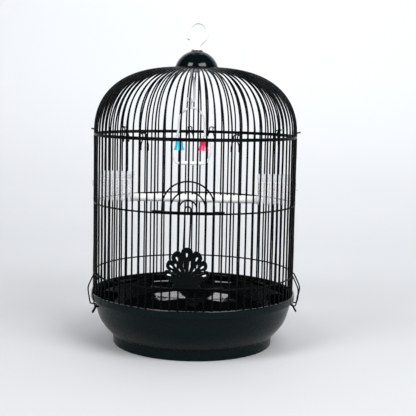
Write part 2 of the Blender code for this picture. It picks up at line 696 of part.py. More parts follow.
def make_perch(half_length):
    half = half_length - CLEARANCE
    mesh = rod((-half, 0, 0), (half, 0, 0), PERCH_DIAMETER, 16)
    place("perch", mesh, WHITE_PLASTIC, (0, 0, PERCH_Z))


def hub_heights():
    """The top and bottom of the hub's wires, and the height of each piece that the hook's stem passes."""
    middle = DOME_BASE_Z + dome_height(HUB_RADIUS)
    plate_top = middle - HUB_WIRE / 2 - CLEARANCE
    plate_bottom = plate_top - HUB_PLATE_THICKNESS
    eye_top = plate_bottom - CLEARANCE
    eye_bottom = eye_top - HANGER_EYE_THICKNESS
    retainer_top = eye_bottom - CLEARANCE
    cap_foot = DOME_BASE_Z + dome_height(CAP_RADIUS) + HALF_WIRE + CLEARANCE
    return plate_top, plate_bottom, eye_top, eye_bottom, retainer_top, cap_foot


def make_cap(cap_foot):
    """A thin dome with a low ridge round the hook's hole."""
    ball_radius = (CAP_RADIUS ** 2 + CAP_HEIGHT ** 2) / (2 * CAP_HEIGHT)
    top = cap_foot + CAP_HEIGHT

    def dome(inset, count=7):
        radius = ball_radius - inset
        foot_turn = asin((ball_radius - CAP_HEIGHT) / radius)
        points = []
        for i in range(count + 1):
            turn = foot_turn + (pi / 2 - foot_turn) * (1 - i / count)
            points.append((radius * cos(turn), top - ball_radius + radius * sin(turn)))
        return points

    outer = [p for p in dome(0.0) if p[0] > CAP_RIDGE_RADIUS]
    inner = [p for p in dome(CAP_WALL) if p[0] > STEM_HOLE]
    ridge = [(STEM_HOLE, top), (CAP_RIDGE_RADIUS - CAP_RIDGE, top), (CAP_RIDGE_RADIUS, top - 0.4 * CAP_RIDGE)]
    ridge += [(CAP_RIDGE_RADIUS, top - 2 * CAP_RIDGE)]
    profile = ridge + outer + inner[::-1] + [(STEM_HOLE, top - CAP_WALL), (STEM_HOLE, top)]
    origin = (0, 0, cap_foot)
    place("cap", centred(turned(profile, 32), origin), BLACK_PLASTIC, origin)
    return top


def washer(outer, hole, bottom, top, segments):
    return turned([(hole, top), (outer, top), (outer, bottom), (hole, bottom), (hole, top)], segments)


def make_hub_plate(plate_top, plate_bottom):
    radius = HUB_RADIUS + HUB_WIRE / 2
    mesh = washer(radius, STEM_HOLE, plate_bottom, plate_top, 32)
    place("hub_plate", centred(mesh, (0, 0, plate_bottom)), STEEL, (0, 0, plate_bottom))


def make_hook(cap_top, retainer_top):
    """The hanging hook, its collar and its stem. It turns about Z."""
    collar_foot = cap_top + CLEARANCE
    collar_top = collar_foot + COLLAR_HEIGHT
    low = retainer_top - RETAINER_THICKNESS - 1.5 * MM
    rise = HOOK_RISE - COLLAR_HEIGHT - HOOK_WIRE / 2
    reach = HOOK_REACH
    mouth = HOOK_MOUTH / reach
    shape = [(0, 0), (0.03, 0.06), (0.325, 0.17), (0.78, 0.34), (1.0, 0.58), (0.96, 0.75), (0.65, 0.925),
             (0.13, 1.0), (-0.37, 0.945), (-0.86 * mouth, 0.8), (-0.97 * mouth, 0.61), (-mouth, 0.39)]
    points = [Vector((x * reach, 0, collar_top + z * rise)) for x, z in shape]
    path = [Vector((0, 0, low))] + smooth_path(points, 2)
    wire = tube(path, HOOK_WIRE, corners=2)
    edge = 0.1 * COLLAR_RADIUS
    rim = [(COLLAR_RADIUS - edge, collar_top), (COLLAR_RADIUS, collar_top - edge), (COLLAR_RADIUS, collar_foot)]
    collar = turned([(0.0, collar_top)] + rim + [(0.0, collar_foot)], 24)
    origin = (0, 0, collar_foot)
    tip = ball(path[-1], HOOK_TIP, 10)
    place("hook", centred(combine([wire, collar, tip]), origin), WHITE_PLASTIC, origin)
    hole = HOOK_WIRE / 2 + CLEARANCE
    mesh = washer(RETAINER_RADIUS, hole, retainer_top - RETAINER_THICKNESS, retainer_top, 20)
    origin = (0, 0, retainer_top)
    place("hook_retainer", centred(mesh, origin), STEEL, origin)


def make_swing_hanger(eye_top, eye_bottom):
    """A strap with an eye on the hook's stem and an open hook for the swing."""
    eye = washer(HANGER_EYE_RADIUS, STEM_HOLE, eye_bottom, eye_top, 20)
    drop = HANGER_X - PIVOT_X
    strap_x = -HANGER_EYE_RADIUS + HANGER_WIRE * 0.3
    points = [(strap_x, 0, eye_bottom + 0.2 * HANGER_EYE_THICKNESS), (strap_x, 0, eye_bottom - 5 * MM)]
    points += [(HANGER_X - 0.6 * MM, 0, eye_bottom - 16 * MM), (HANGER_X, 0, PIVOT_Z + 9 * MM)]
    points += [(PIVOT_X + drop, 0, PIVOT_Z + 3.4 * MM), (PIVOT_X + drop * 0.72, 0, PIVOT_Z + 0.7 * MM)]
    points += [(PIVOT_X + drop * 0.4, 0, PIVOT_Z), (PIVOT_X - drop * 0.4, 0, PIVOT_Z)]
    points += [(PIVOT_X - drop * 0.72, 0, PIVOT_Z + 0.7 * MM), (PIVOT_X - drop, 0, PIVOT_Z + 3.4 * MM)]
    points += [(PIVOT_X - drop, 0, PIVOT_Z + 7 * MM)]
    strap = tube([Vector(p) for p in points], HANGER_WIRE, corners=1)
    origin = (0, 0, eye_top)
    place("swing_hanger", centred(combine([eye, strap]), origin), CLEAR_PLASTIC, origin)


def swing_half():
    """The right half of the hoop, from its neck down to the end that holds the perch bar."""
    neck, belly = SWING_NECK_HALF, SWING_BELLY_HALF
    end_x = SWING_PERCH_LENGTH / 2 - SWING_PEG_DEPTH
    return [(0, PIVOT_Z - 9.5 * MM), (0.28 * neck, PIVOT_Z - 11 * MM), (BEAD_HALF, BEAD_Z),
            (0.9 * neck, BEAD_Z - 9 * MM), (neck, BEAD_Z - 18 * MM), (neck + 0.5 * MM, BELL_PEG_Z + 8 * MM),
            (neck + 3 * MM, BELL_PEG_Z), (0.9 * belly, BELL_PEG_Z - 7 * MM), (belly, SWING_BELLY_Z),
            (0.93 * belly, SWING_BELLY_Z - 13 * MM), (0.78 * belly, SWING_PERCH_Z + 2.5 * MM),
            (0.68 * belly, SWING_PERCH_Z), (end_x, SWING_PERCH_Z)]


def make_swing():
    """The hoop hangs on the hanger's hook and swings about X. Its origin is the pivot."""
    pivot = Vector((PIVOT_X, 0, PIVOT_Z))
    eye_radius = HANGER_WIRE / 2 + 0.4 * MM + SWING_WIRE / 2
    half = swing_half()
    right = smooth_path([(SWING_X + x, 0, z) for x, z in half[:-1]], 2)
    right.append(Vector((SWING_X + half[-1][0], 0, SWING_PERCH_Z)))
    left = [Vector((2 * SWING_X - p.x, 0, p.z)) for p in reversed(right[1:])]
    hoop = tube(left + right, SWING_WIRE, corners=1)
    eye = ring_of_wire(pivot, eye_radius, SWING_WIRE * 0.9, 10, corners=1)
    neck_path = [pivot - Vector((0, 0, eye_radius)), Vector((SWING_X, 0, PIVOT_Z - 9.5 * MM))]
    neck = tube(neck_path, SWING_WIRE * 0.95, corners=1)
    pieces = [hoop, neck, eye]
    for side in (-1, 1):
        bead = Vector((SWING_X + side * BEAD_HALF, 0, BEAD_Z))
        pieces.append(ball(bead, BEAD_DIAMETER, 10))
        outer = Vector((SWING_X + side * (SWING_NECK_HALF + 4 * MM), 0, BELL_PEG_Z))
        inner = Vector((SWING_X + side * (BELL_HALF - BELL_EYE_WIRE), 0, BELL_PEG_Z))
        pieces.append(rod(outer, inner, BELL_PEG_WIRE, 8))
    place("swing_frame", centred(combine(pieces), pivot), CLEAR_PLASTIC, pivot)


def make_swing_perch():
    """The swing's bar, bored at both ends for the hoop's ends."""
    half = SWING_PERCH_LENGTH / 2
    bar = rod((-half, 0, 0), (half, 0, 0), SWING_PERCH_DIAMETER, 12)
    holes = []
    for side in (-1, 1):
        depth = half - SWING_PEG_DEPTH - CLEARANCE
        holes.append(rod((side * depth, 0, 0), (side * (half + 1 * MM), 0, 0), SWING_WIRE + 2 * CLEARANCE, 8))
    place("swing_perch", combine([bar] + holes, "DIFFERENCE"), WHITE_PLASTIC, (SWING_X, 0, SWING_PERCH_Z))


def make_bell(colour, finish, side):
    """An open bell hung by its eye on the hoop's peg, and the clapper inside it."""
    x = SWING_X + side * BELL_HALF
    eye_radius = BELL_PEG_WIRE / 2 + 0.5 * MM + BELL_EYE_WIRE / 2
    top = BELL_PEG_Z - BELL_TOP_DROP
    foot = top - BELL_HEIGHT

    def skirt(inset, top_z, count=4):
        points = []
        for i in range(count + 1):
            t = i / count
            radius = BELL_TOP_RADIUS + (BELL_MOUTH_RADIUS - BELL_TOP_RADIUS) * t ** 2
            points.append((radius - inset, top_z + (foot - top_z) * t))
        return points

    outer = [(0.0, top), (BELL_TOP_RADIUS - 1 * MM, top)] + skirt(0.0, top - 0.6 * MM)
    inner = skirt(BELL_WALL, top - BELL_WALL)[::-1] + [(0.0, top - BELL_WALL)]
    shell = turned(outer + inner, 16)
    neck = rod((0, 0, top - BELL_WALL * 0.5), (0, 0, BELL_PEG_Z - eye_radius), BELL_EYE_WIRE * 1.1, 8)
    eye = ring_of_wire((0, 0, BELL_PEG_Z), eye_radius, BELL_EYE_WIRE, 8)
    peg = (x, 0, BELL_PEG_Z)
    mesh = combine([shell, neck, eye])
    place(f"bell_{colour}", centred(mesh, (0, 0, BELL_PEG_Z)), finish, peg)
    hang = top - BELL_WALL - CLEARANCE
    bead_z = foot + CLAPPER_BEAD * 0.55
    stem = rod((0, 0, bead_z), (0, 0, hang), CLAPPER_ROD, 6)
    clapper = combine([ball((0, 0, bead_z), CLAPPER_BEAD, 10), stem])
    place(f"bell_clapper_{colour}", centred(clapper, (0, 0, hang)), STEEL, (x, 0, hang))


def shade_round_pieces():
    for made in PARTS.objects:
        made.data.shade_smooth()
        made.data.set_sharp_from_angle(angle=radians(40))


def main():
    plate_top, plate_bottom, eye_top, eye_bottom, retainer_top, cap_foot = hub_heights()
    make_tray()
    make_wall()
    make_dome()
    make_dome_clips()
    make_door()
    make_door_plate()
    make_latch("latch_left", LATCH_GAP_LEFT)
    make_latch("latch_right", LATCH_GAP_RIGHT)
    make_cup("cup_left", -1)
    socket_floor = make_cup("cup_right", 1)
    make_perch(socket_floor)
    make_hub_plate(plate_top, plate_bottom)
    cap_top = make_cap(cap_foot)
    make_hook(cap_top, retainer_top)
    make_swing_hanger(eye_top, eye_bottom)
    make_swing()
    make_swing_perch()
    make_bell("blue", BLUE_PLASTIC, -1)
    make_bell("red", RED_PLASTIC, 1)
    shade_round_pieces()


main()
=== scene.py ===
"""Looks of the round wire bird cage: every visible piece, its material, the camera and the light.

The pieces' lengths are in millimetres until mm() turns them into metres. Stage, lamps and camera are in metres.
+Z is up and the door faces -Y. An azimuth is in degrees, 0 at the door's middle and positive towards +X.
"""

from math import asin, cos, degrees, pi, radians, sin, sqrt, tan

import bmesh
import bpy
from mathutils import Matrix, Vector


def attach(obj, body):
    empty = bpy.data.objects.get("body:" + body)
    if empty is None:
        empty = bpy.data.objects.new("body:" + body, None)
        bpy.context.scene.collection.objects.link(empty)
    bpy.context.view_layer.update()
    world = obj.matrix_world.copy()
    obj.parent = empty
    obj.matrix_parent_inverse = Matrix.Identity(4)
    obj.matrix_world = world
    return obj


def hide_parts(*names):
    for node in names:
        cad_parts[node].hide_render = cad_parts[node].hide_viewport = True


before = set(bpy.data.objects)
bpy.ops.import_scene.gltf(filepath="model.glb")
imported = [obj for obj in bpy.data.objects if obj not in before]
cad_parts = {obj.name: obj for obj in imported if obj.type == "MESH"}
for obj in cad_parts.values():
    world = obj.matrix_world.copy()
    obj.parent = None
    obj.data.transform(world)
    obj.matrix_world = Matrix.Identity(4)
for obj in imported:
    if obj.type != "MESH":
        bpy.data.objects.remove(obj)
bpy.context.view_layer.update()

# Sizes that the pieces share with the CAD
RIM_RADIUS, RIM_Z, RIM_BAND, RIM_OVERHANG = 162.5, 83.5, 10.7, 4.5
FOOT_RADIUS, STEP_Z, STEP_LEDGE = 127.5, 17.5, 2.5
TRAY_WALL, TRAY_FLOOR, TRAY_BULGE = 2.2, 2.4, 6.3
LEDGE_Z, LEDGE_INNER, RIM_INNER = 79.9, 155.2, 160.2
WIRE_COUNT, CAGE_RADIUS = 80, 158.5
BOTTOM_Z, LOWER_Z, MID_Z, TOP_Z, DOME_Z = 81.3, 113.8, 224.9, 329.8, 332.3
DOME_HEIGHT, DOME_SIDE_POWER, DOME_TOP_POWER = 105.0, 2.84, 2.32
SHOULDER_RADIUS, HUB_RADIUS = 41.5, 31.0
PITCH = 360 / WIRE_COUNT
DOORWAY = 4  # pitches from the door's middle to the guide wires
GUIDE = DOORWAY * PITCH
DOOR_RADIUS, DOOR_RETURN_RADIUS = 161.2, 155.8
DOOR_LOW, DOOR_HIGH = 116.3, 227.4
CLIP_GAPS = (-38.5, -28.5, -19.5, -5.5, 5.5, 19.5, 27.5, 38.5)
CUP_BASE, CUP_TOP, CUP_BACK, CUP_FRONT, CUP_HALF = 226.3, 269.8, 152.7, 100.2, 30.0
PERCH_Z, PERCH_RADIUS, PERCH_HALF = 230.9, 6.0, 101.9
CAP_FOOT, CAP_TOP, CAP_RADIUS = 438.2, 463.2, 33.5
COLLAR_FOOT, COLLAR_RADIUS, COLLAR_HEIGHT = 463.5, 8.1, 3.4
PIVOT_X, PIVOT_Z, SWING_X = -8.0, 384.0, -6.3
BELL_HALF, BELL_PEG_Z, BELL_FOOT, BELL_HEIGHT = 19.3, 330.5, 307.3, 19.0

# Wire diameters, thicker than the CAD's, as the wires look in the photo
WIRE, HINGE_RING_WIRE, DOOR_WIRE, CLIP_WIRE, LATCH_WIRE = 2.6, 2.4, 2.5, 2.0, 2.1


def mm(*values):
    """A point or offset given in millimetres, in metres."""
    return Vector(values) * 0.001


def around(radius, azimuth, z):
    """The point at this radius and azimuth about the cage's axis."""
    turn = radians(azimuth)
    return mm(radius * sin(turn), -radius * cos(turn), z)


def sway(index, seed):
    """A fixed uneven value from -1 to 1 for each wire, so that no two wires stand quite alike."""
    value = sin(index * 12.9898 + seed * 78.233) * 43758.5453
    return 2 * (value - int(value)) - (1 if value >= 0 else -1)


# ---- Materials ----

NOISE_LOW, NOISE_HIGH = 0.3, 0.7  # where most of a noise texture's values lie
GRAIN_DEPTH = 0.0005


def finish(name, colour, colour_two, roughness, grain=900.0, bump=0.02, patches=30.0, **shader_values):
    """A plastic or enamel: two near colours in soft patches, uneven gloss and a fine moulded grain."""
    made = bpy.data.materials.new(name)
    made.use_nodes = True
    nodes, links = made.node_tree.nodes, made.node_tree.links
    shader = nodes["Principled BSDF"]
    place = nodes.new("ShaderNodeTexCoord")

    def noise(scale, detail):
        node = nodes.new("ShaderNodeTexNoise")
        node.inputs["Scale"].default_value = scale
        node.inputs["Detail"].default_value = detail
        links.new(place.outputs["Object"], node.inputs["Vector"])
        return node.outputs["Fac"]

    mix = nodes.new("ShaderNodeMix")
    mix.data_type = "RGBA"
    mix.inputs["A"].default_value = (*colour, 1.0)
    mix.inputs["B"].default_value = (*colour_two, 1.0)
    links.new(noise(patches, 4.0), mix.inputs["Factor"])
    links.new(mix.outputs["Result"], shader.inputs["Base Color"])
    gloss = nodes.new("ShaderNodeMapRange")
    gloss.inputs["From Min"].default_value = NOISE_LOW
    gloss.inputs["From Max"].default_value = NOISE_HIGH
    gloss.inputs["To Min"].default_value = roughness[0]
    gloss.inputs["To Max"].default_value = roughness[1]
    links.new(noise(patches * 3, 6.0), gloss.inputs["Value"])
    links.new(gloss.outputs["Result"], shader.inputs["Roughness"])
    relief = nodes.new("ShaderNodeBump")
    relief.inputs["Strength"].default_value = bump
    relief.inputs["Distance"].default_value = GRAIN_DEPTH
    links.new(noise(grain, 3.0), relief.inputs["Height"])
    links.new(relief.outputs["Normal"], shader.inputs["Normal"])
    for socket, value in shader_values.items():
        shader.inputs[socket.replace("_", " ")].default_value = value
    return made


TRAY_FINISH = finish("tray_black", (0.0004, 0.004, 0.0045), (0.001, 0.0055, 0.006), (0.22, 0.32), grain=1400.0,
                     bump=0.025, Specular_IOR_Level=0.1)
# The tray's inside: the same plastic, glossier, with its colour darkened as painted shade; the rim's top shares this
# copy.
INSIDE_SHADED_GLOSS = finish("tray_gloss_painted_shade", (0.0002, 0.0008, 0.001), (0.0005, 0.0012, 0.0014), (0.04, 0.08), grain=500.0,
                       bump=0.02, Specular_IOR_Level=0.45)
CAP_FINISH = finish("cap_black", (0.0008, 0.0025, 0.003), (0.0016, 0.0036, 0.004), (0.07, 0.12), bump=0.015,
                    Specular_IOR_Level=1.0, IOR=1.22)
WIRE_FINISH = finish("wire_enamel", (0.0006, 0.0014, 0.0016), (0.0016, 0.0026, 0.003), (0.2, 0.32), grain=2500.0,
                     bump=0.04, patches=120.0, Specular_IOR_Level=0.12, IOR=1.3)
PLATE_FINISH = finish("fan_black", (0.001, 0.002, 0.0024), (0.002, 0.0032, 0.0036), (0.25, 0.35),
                      Specular_IOR_Level=0.06)
PAINT_FINISH = finish("fan_paint", (0.72, 0.73, 0.74), (0.6, 0.61, 0.62), (0.45, 0.6))
WHITE_FINISH = finish("hook_white", (0.86, 0.87, 0.88), (0.8, 0.81, 0.83), (0.28, 0.4), bump=0.03)
PERCH_FINISH = finish("perch_white", (0.9, 0.91, 0.92), (0.84, 0.85, 0.87), (0.3, 0.45), grain=600.0, bump=0.04,
                      patches=60.0)
CLEAR_FINISH = finish("clear_plastic", (0.9, 0.91, 0.93), (0.82, 0.84, 0.87), (0.12, 0.3), bump=0.04, Alpha=0.2)
FROST_FINISH = finish("frosted_plastic", (0.92, 0.93, 0.95), (0.84, 0.86, 0.89), (0.35, 0.55), bump=0.2, Alpha=0.5)
SWING_FINISH = finish("swing_plastic", (0.9, 0.91, 0.93), (0.84, 0.86, 0.89), (0.12, 0.28), bump=0.05, Alpha=0.86)
BLUE_FINISH = finish("bell_blue_plastic", (0.015, 0.56, 0.8), (0.04, 0.64, 0.84), (0.12, 0.25),
                     Transmission_Weight=0.12, Specular_IOR_Level=0.6)
RED_FINISH = finish("bell_red_plastic", (0.82, 0.014, 0.11), (0.87, 0.028, 0.15), (0.12, 0.25),
                    Transmission_Weight=0.1, Specular_IOR_Level=0.6)
STEEL_FINISH = finish("plated_steel", (0.5, 0.51, 0.52), (0.38, 0.39, 0.4), (0.25, 0.45), grain=1800.0, bump=0.08,
                      Metallic=1.0)


# ---- Shape helpers ----

TIP_ANGLES = (0.0, 0.6, 1.15)  # the rings that round off a tube's end, in radians from its last full ring
FILLET_STEPS, BALL_ROWS = 4, 10


def curved(points, steps=4):
    """A Catmull-Rom curve through the points."""
    ends = [2 * points[0] - points[1]] + list(points) + [2 * points[-1] - points[-2]]
    path = [points[0].copy()]
    for a, b, c, d in zip(ends, ends[1:], ends[2:], ends[3:]):
        for step in range(1, steps + 1):
            t = step / steps
            path.append(0.5 * (2 * b + (c - a) * t + (2 * a - 5 * b + 4 * c - d) * t ** 2
                               + (3 * b - 3 * c + d - a) * t ** 3))
    return path


def filleted(corners, closed=False):
    """Rounds the corners of a flat line. Each corner is (x, y, radius)."""
    path = []
    for i, (x, y, radius) in enumerate(corners):
        here = Vector((x, y))
        if radius == 0 or (not closed and i in (0, len(corners) - 1)):
            path.append(here)
            continue
        before = Vector(corners[i - 1][:2]) - here
        after = Vector(corners[(i + 1) % len(corners)][:2]) - here
        reach = min(radius / tan(before.angle(after) / 2), 0.48 * before.length, 0.48 * after.length)
        start, end = here + before.normalized() * reach, here + after.normalized() * reach
        for step in range(FILLET_STEPS + 1):
            t = step / FILLET_STEPS
            path.append(start * (1 - t) ** 2 + here * 2 * t * (1 - t) + end * t ** 2)
    return path


def add_tube(build, path, radius, sides=8, closed=False):
    """Adds a round tube along the path, with rounded ends unless it is closed. Radius is in millimetres."""
    radius *= 0.001
    count = len(path)
    tangents = []
    for i in range(count):
        if closed:
            tangents.append((path[(i + 1) % count] - path[i - 1]).normalized())
        else:
            tangents.append((path[min(i + 1, count - 1)] - path[max(i - 1, 0)]).normalized())
    side = tangents[0].orthogonal().normalized()
    rings = []

    def ring(centre, along, across, size):
        up = along.cross(across)
        return [build.verts.new(centre + (across * cos(2 * pi * k / sides) + up * sin(2 * pi * k / sides)) * size)
                for k in range(sides)]

    for i, (centre, along) in enumerate(zip(path, tangents)):
        side = (side - along * side.dot(along)).normalized()
        if not closed and i in (0, count - 1):
            outward = -1 if i == 0 else 1
            domes = [ring(centre + along * outward * radius * (sin(a) - 1), along, side, radius * cos(a))
                     for a in TIP_ANGLES]
            rings += domes[::-1] if i == 0 else domes
        else:
            rings.append(ring(centre, along, side, radius))
    pairs = list(zip(rings, rings[1:]))
    if closed:
        first, last = rings[0], rings[-1]
        shift = min(range(sides), key=lambda k: (first[k].co - last[0].co).length)
        pairs.append((last, first[shift:] + first[:shift]))
    for one, two in pairs:
        for k in range(sides):
            build.faces.new((one[k], one[(k + 1) % sides], two[(k + 1) % sides], two[k]))
    if not closed:
        build.faces.new(rings[0][::-1])
        build.faces.new(rings[-1])


def add_turned(build, profile, segments, centre=Vector((0, 0, 0))):
    """Adds a profile of (radius, z) points in millimetres, turned about a vertical axis."""
    rings = []
    for r, z in profile:
        if r <= 0:
            rings.append([build.verts.new(centre + mm(0, 0, z))] * segments)
        else:
            rings.append([build.verts.new(centre + around(r, 360 * k / segments, z)) for k in range(segments)])
    for one, two in zip(rings, rings[1:]):
        if one[0] is one[1] and two[0] is two[1]:
            continue
        for k in range(segments):
            n = (k + 1) % segments
            build.faces.new(list(dict.fromkeys([one[k], one[n], two[n], two[k]])))


def add_ball(build, centre, radius, segments=16):
    """Adds a ball. Its radius is in millimetres, its centre in metres."""
    turns = [pi * i / BALL_ROWS for i in range(1, BALL_ROWS)]
    profile = [(0, -radius)] + [(radius * sin(turn), -radius * cos(turn)) for turn in turns] + [(0, radius)]
    add_turned(build, profile, segments, centre)


def add_block(build, low, high, bevel):
    """Adds a small block with rounded edges. Corners and bevel are in millimetres."""
    low, high = mm(*low), mm(*high)
    made = bmesh.ops.create_cube(build, size=1.0)["verts"]
    for vert in made:
        vert.co = (low + high) / 2 + Vector(v * s for v, s in zip(vert.co, high - low))
    edges = list(dict.fromkeys(e for v in made for e in v.link_edges))
    bmesh.ops.bevel(build, geom=edges, offset=bevel * 0.001, segments=2, profile=0.5, affect="EDGES")


def lay_along_x(build, centre):
    """Lays a shape that was turned about the vertical axis along X, and moves it to the centre."""
    turn = Matrix.Translation(centre) @ Matrix.Rotation(pi / 2, 4, "Y")
    bmesh.ops.transform(build, matrix=turn, verts=build.verts)


def meshed(name, build):
    """A mesh of what was built."""
    mesh = bpy.data.meshes.new(name)
    build.to_mesh(mesh)
    build.free()
    return mesh


def placed(name, data):
    """An object of the scene with these data."""
    made = bpy.data.objects.new(name, data)
    bpy.context.scene.collection.objects.link(made)
    return made


def taken_over(source):
    """The object's final mesh as a new build. The object itself is removed."""
    bpy.context.view_layer.update()
    mesh = bpy.data.meshes.new_from_object(source.evaluated_get(bpy.context.evaluated_depsgraph_get()))
    mesh.transform(source.matrix_world)
    bpy.data.objects.remove(source, do_unlink=True)
    build = bmesh.new()
    build.from_mesh(mesh)
    return build


def piece(name, build, material, body, replaced, smooth=50):
    """Makes the piece, lets it ride on its body and hides the CAD parts it stands for."""
    bmesh.ops.recalc_face_normals(build, faces=build.faces)
    mesh = meshed(name, build)
    mesh.shade_smooth()
    mesh.set_sharp_from_angle(angle=radians(smooth))
    made = placed(name, mesh)
    mesh.materials.append(material)
    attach(made, body)
    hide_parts(*replaced)
    return made


# ---- Tray ----

TRAY_SEGMENTS, BOWL_ROWS = 180, 28
UNDERSIDE_Z, UNDERSIDE_MIDDLE_Z = 1.2, 0.9


def bowl_line(inset, top, bottom):
    """The bowl's curved wall from top to bottom, drawn in by the inset."""
    points = []
    for i in range(BOWL_ROWS + 1):
        t = i / BOWL_ROWS
        radius = RIM_RADIUS - RIM_OVERHANG
        radius += (FOOT_RADIUS + STEP_LEDGE - radius) * t + TRAY_BULGE * sin(pi * t ** 1.3)
        points.append((radius - inset, top + (bottom - top) * t, 0))
    return points


def make_tray():
    """The tray: rolled rim with a ledge for the cage's lowest ring, a curved bowl, a step and a foot."""
    band = RIM_Z - RIM_BAND
    outer = [(RIM_INNER, RIM_Z, 0.5), (RIM_RADIUS, RIM_Z, 1.5), (RIM_RADIUS, band, 0.7),
             (RIM_RADIUS - RIM_OVERHANG, band, 1.2)]
    outer += bowl_line(0, band - 1.5, STEP_Z)
    outer += [(FOOT_RADIUS + 0.6, STEP_Z - 1.4, 0.8), (FOOT_RADIUS, STEP_Z - 3, 1.0), (FOOT_RADIUS - 1, 0.8, 0.6),
              (FOOT_RADIUS - 2.2, 0, 0.5), (FOOT_RADIUS - 5, 0, 0.5), (FOOT_RADIUS - 6.5, UNDERSIDE_Z, 0.5),
              (22, UNDERSIDE_Z, 0.5), (20, UNDERSIDE_MIDDLE_Z, 0.3), (0, UNDERSIDE_MIDDLE_Z, 0)]
    inner = [(0, TRAY_FLOOR, 0), (FOOT_RADIUS - 12, TRAY_FLOOR, 1), (FOOT_RADIUS - 4.5, TRAY_FLOOR + 1.4, 4),
             (FOOT_RADIUS - TRAY_WALL, STEP_Z + 2.2, 3)]
    inner += bowl_line(TRAY_WALL, band - TRAY_WALL, STEP_Z + TRAY_WALL)[::-1]
    inner += [(LEDGE_INNER, LEDGE_Z - 2.2, 0.5), (LEDGE_INNER, LEDGE_Z, 0.5), (RIM_INNER, LEDGE_Z, 0.4),
              (RIM_INNER, RIM_Z, 0.5)]
    build = bmesh.new()
    add_turned(build, filleted(outer) + filleted(inner), TRAY_SEGMENTS)
    bmesh.ops.remove_doubles(build, verts=build.verts, dist=0.00001)
    made = piece("tray_shell", build, TRAY_FINISH, "tray", ["tray"], smooth=35)
    made.data.materials.append(INSIDE_SHADED_GLOSS)
    # Inward faces, the floor's top and the rim's top take the glossier copy, darkened as painted shade.
    for face in made.data.polygons:
        middle, normal = face.center, face.normal
        inward = middle.x * normal.x + middle.y * normal.y < -0.0001
        on_floor, on_rim = middle.z < 0.01, middle.z > 0.001 * (RIM_Z - 3)
        face.material_index = int(inward or (normal.z > 0.3 and (on_floor or on_rim)))


# ---- Wall and dome ----

WIRE_PAST, UPRIGHT_STEP = 0.8, 26  # how far the uprights pass their rings, and the spacing of their points
UPRIGHT_LEAN, UPRIGHT_BOW, UPRIGHT_KINK, BOW_OUTWARD = 0.07, 0.05, 0.03, 8
RING_INSET, RING_WAVE, RING_POINTS, SMALL_RING_POINTS = 0.4, 0.12, 160, 72
DOME_DRIFT, DOME_SWERVE, DOME_SWELL, DRIFT_RADIUS = 0.9, 0.5, 0.5, 60
DOME_POINTS, DOME_THIN, HUB_TUCK = 26, 0.95, 0.3


def make_wall():
    """Eighty upright wires and four rings, each wire a little uneven as bent and welded wire is."""
    uprights = bmesh.new()
    for i in range(-WIRE_COUNT // 2, WIRE_COUNT // 2):
        lean = UPRIGHT_LEAN * sway(i, 1)
        spans = [(BOTTOM_Z, LOWER_Z), (MID_Z, TOP_Z)] if abs(i) < DOORWAY else [(BOTTOM_Z, TOP_Z)]
        for low_ring, high_ring in spans:
            low, high = low_ring - WIRE_PAST, high_ring + WIRE_PAST
            steps = max(2, round((high - low) / UPRIGHT_STEP))
            path = []
            for k in range(steps + 1):
                t = k / steps
                bow = UPRIGHT_BOW * sway(i, 2) * sin(pi * t) + UPRIGHT_KINK * sway(i + k, 3)
                path.append(around(CAGE_RADIUS + BOW_OUTWARD * bow, i * PITCH + lean * (t - 0.5) + bow,
                                   low + (high - low) * t))
            add_tube(uprights, path, WIRE / 2)
    piece("wall_wires", uprights, WIRE_FINISH, "cage", ["cage_wall"])
    rings = bmesh.new()
    for z in (BOTTOM_Z, LOWER_Z, MID_Z, TOP_Z):
        # The latches' eyes turn on the lower ring, so it is true and a little thinner.
        hinge = z == LOWER_Z
        radius, wave = (CAGE_RADIUS, 0.0) if hinge else (CAGE_RADIUS - RING_INSET, RING_WAVE)
        turns = [360 / RING_POINTS * k for k in range(RING_POINTS)]
        ring = [around(radius, turn, z + wave * sin(radians(3 * turn + z))) for turn in turns]
        add_tube(rings, ring, HINGE_RING_WIRE / 2 if hinge else WIRE / 2, closed=True)
    piece("wall_rings", rings, WIRE_FINISH, "cage", ["cage_wall"])


def dome_height(radius):
    """How high the dome stands over its base ring at this radius."""
    share = min(1.0, radius / CAGE_RADIUS)
    return DOME_HEIGHT * (1 - share ** DOME_SIDE_POWER) ** (1 / DOME_TOP_POWER)


def make_dome():
    """Eighty bent wires that crowd together at the hub, their two rings and the base ring."""
    wires = bmesh.new()
    last_turn = pi / 2 - asin((HUB_RADIUS / CAGE_RADIUS) ** (DOME_SIDE_POWER / 2))
    for i in range(WIRE_COUNT):
        path = []
        for k in range(DOME_POINTS + 1):
            t = k / DOME_POINTS
            radius = CAGE_RADIUS * cos(last_turn * t) ** (2 / DOME_SIDE_POWER)
            drift = DOME_DRIFT * sway(i, 4) * sin(pi * t) + DOME_SWERVE * sway(i, 5) * sin(2 * pi * t)
            drift /= max(radius, DRIFT_RADIUS)
            swell = DOME_SWELL * sway(i, 6) * sin(pi * t)
            path.append(around(radius - HUB_TUCK * t, i * PITCH + degrees(drift),
                               DOME_Z + dome_height(radius) + swell * t))
        add_tube(wires, path, WIRE / 2 * DOME_THIN)
    piece("dome_wires", wires, WIRE_FINISH, "cage", ["cage_dome"])
    rings = bmesh.new()
    for radius, z, count in ((CAGE_RADIUS, DOME_Z, RING_POINTS),
                             (SHOULDER_RADIUS, DOME_Z + dome_height(SHOULDER_RADIUS) - 0.6, SMALL_RING_POINTS),
                             (HUB_RADIUS, DOME_Z + dome_height(HUB_RADIUS), SMALL_RING_POINTS)):
        add_tube(rings, [around(radius, 360 * k / count, z) for k in range(count)], WIRE / 2, closed=True)
    piece("dome_rings", rings, WIRE_FINISH, "cage", ["cage_dome"])


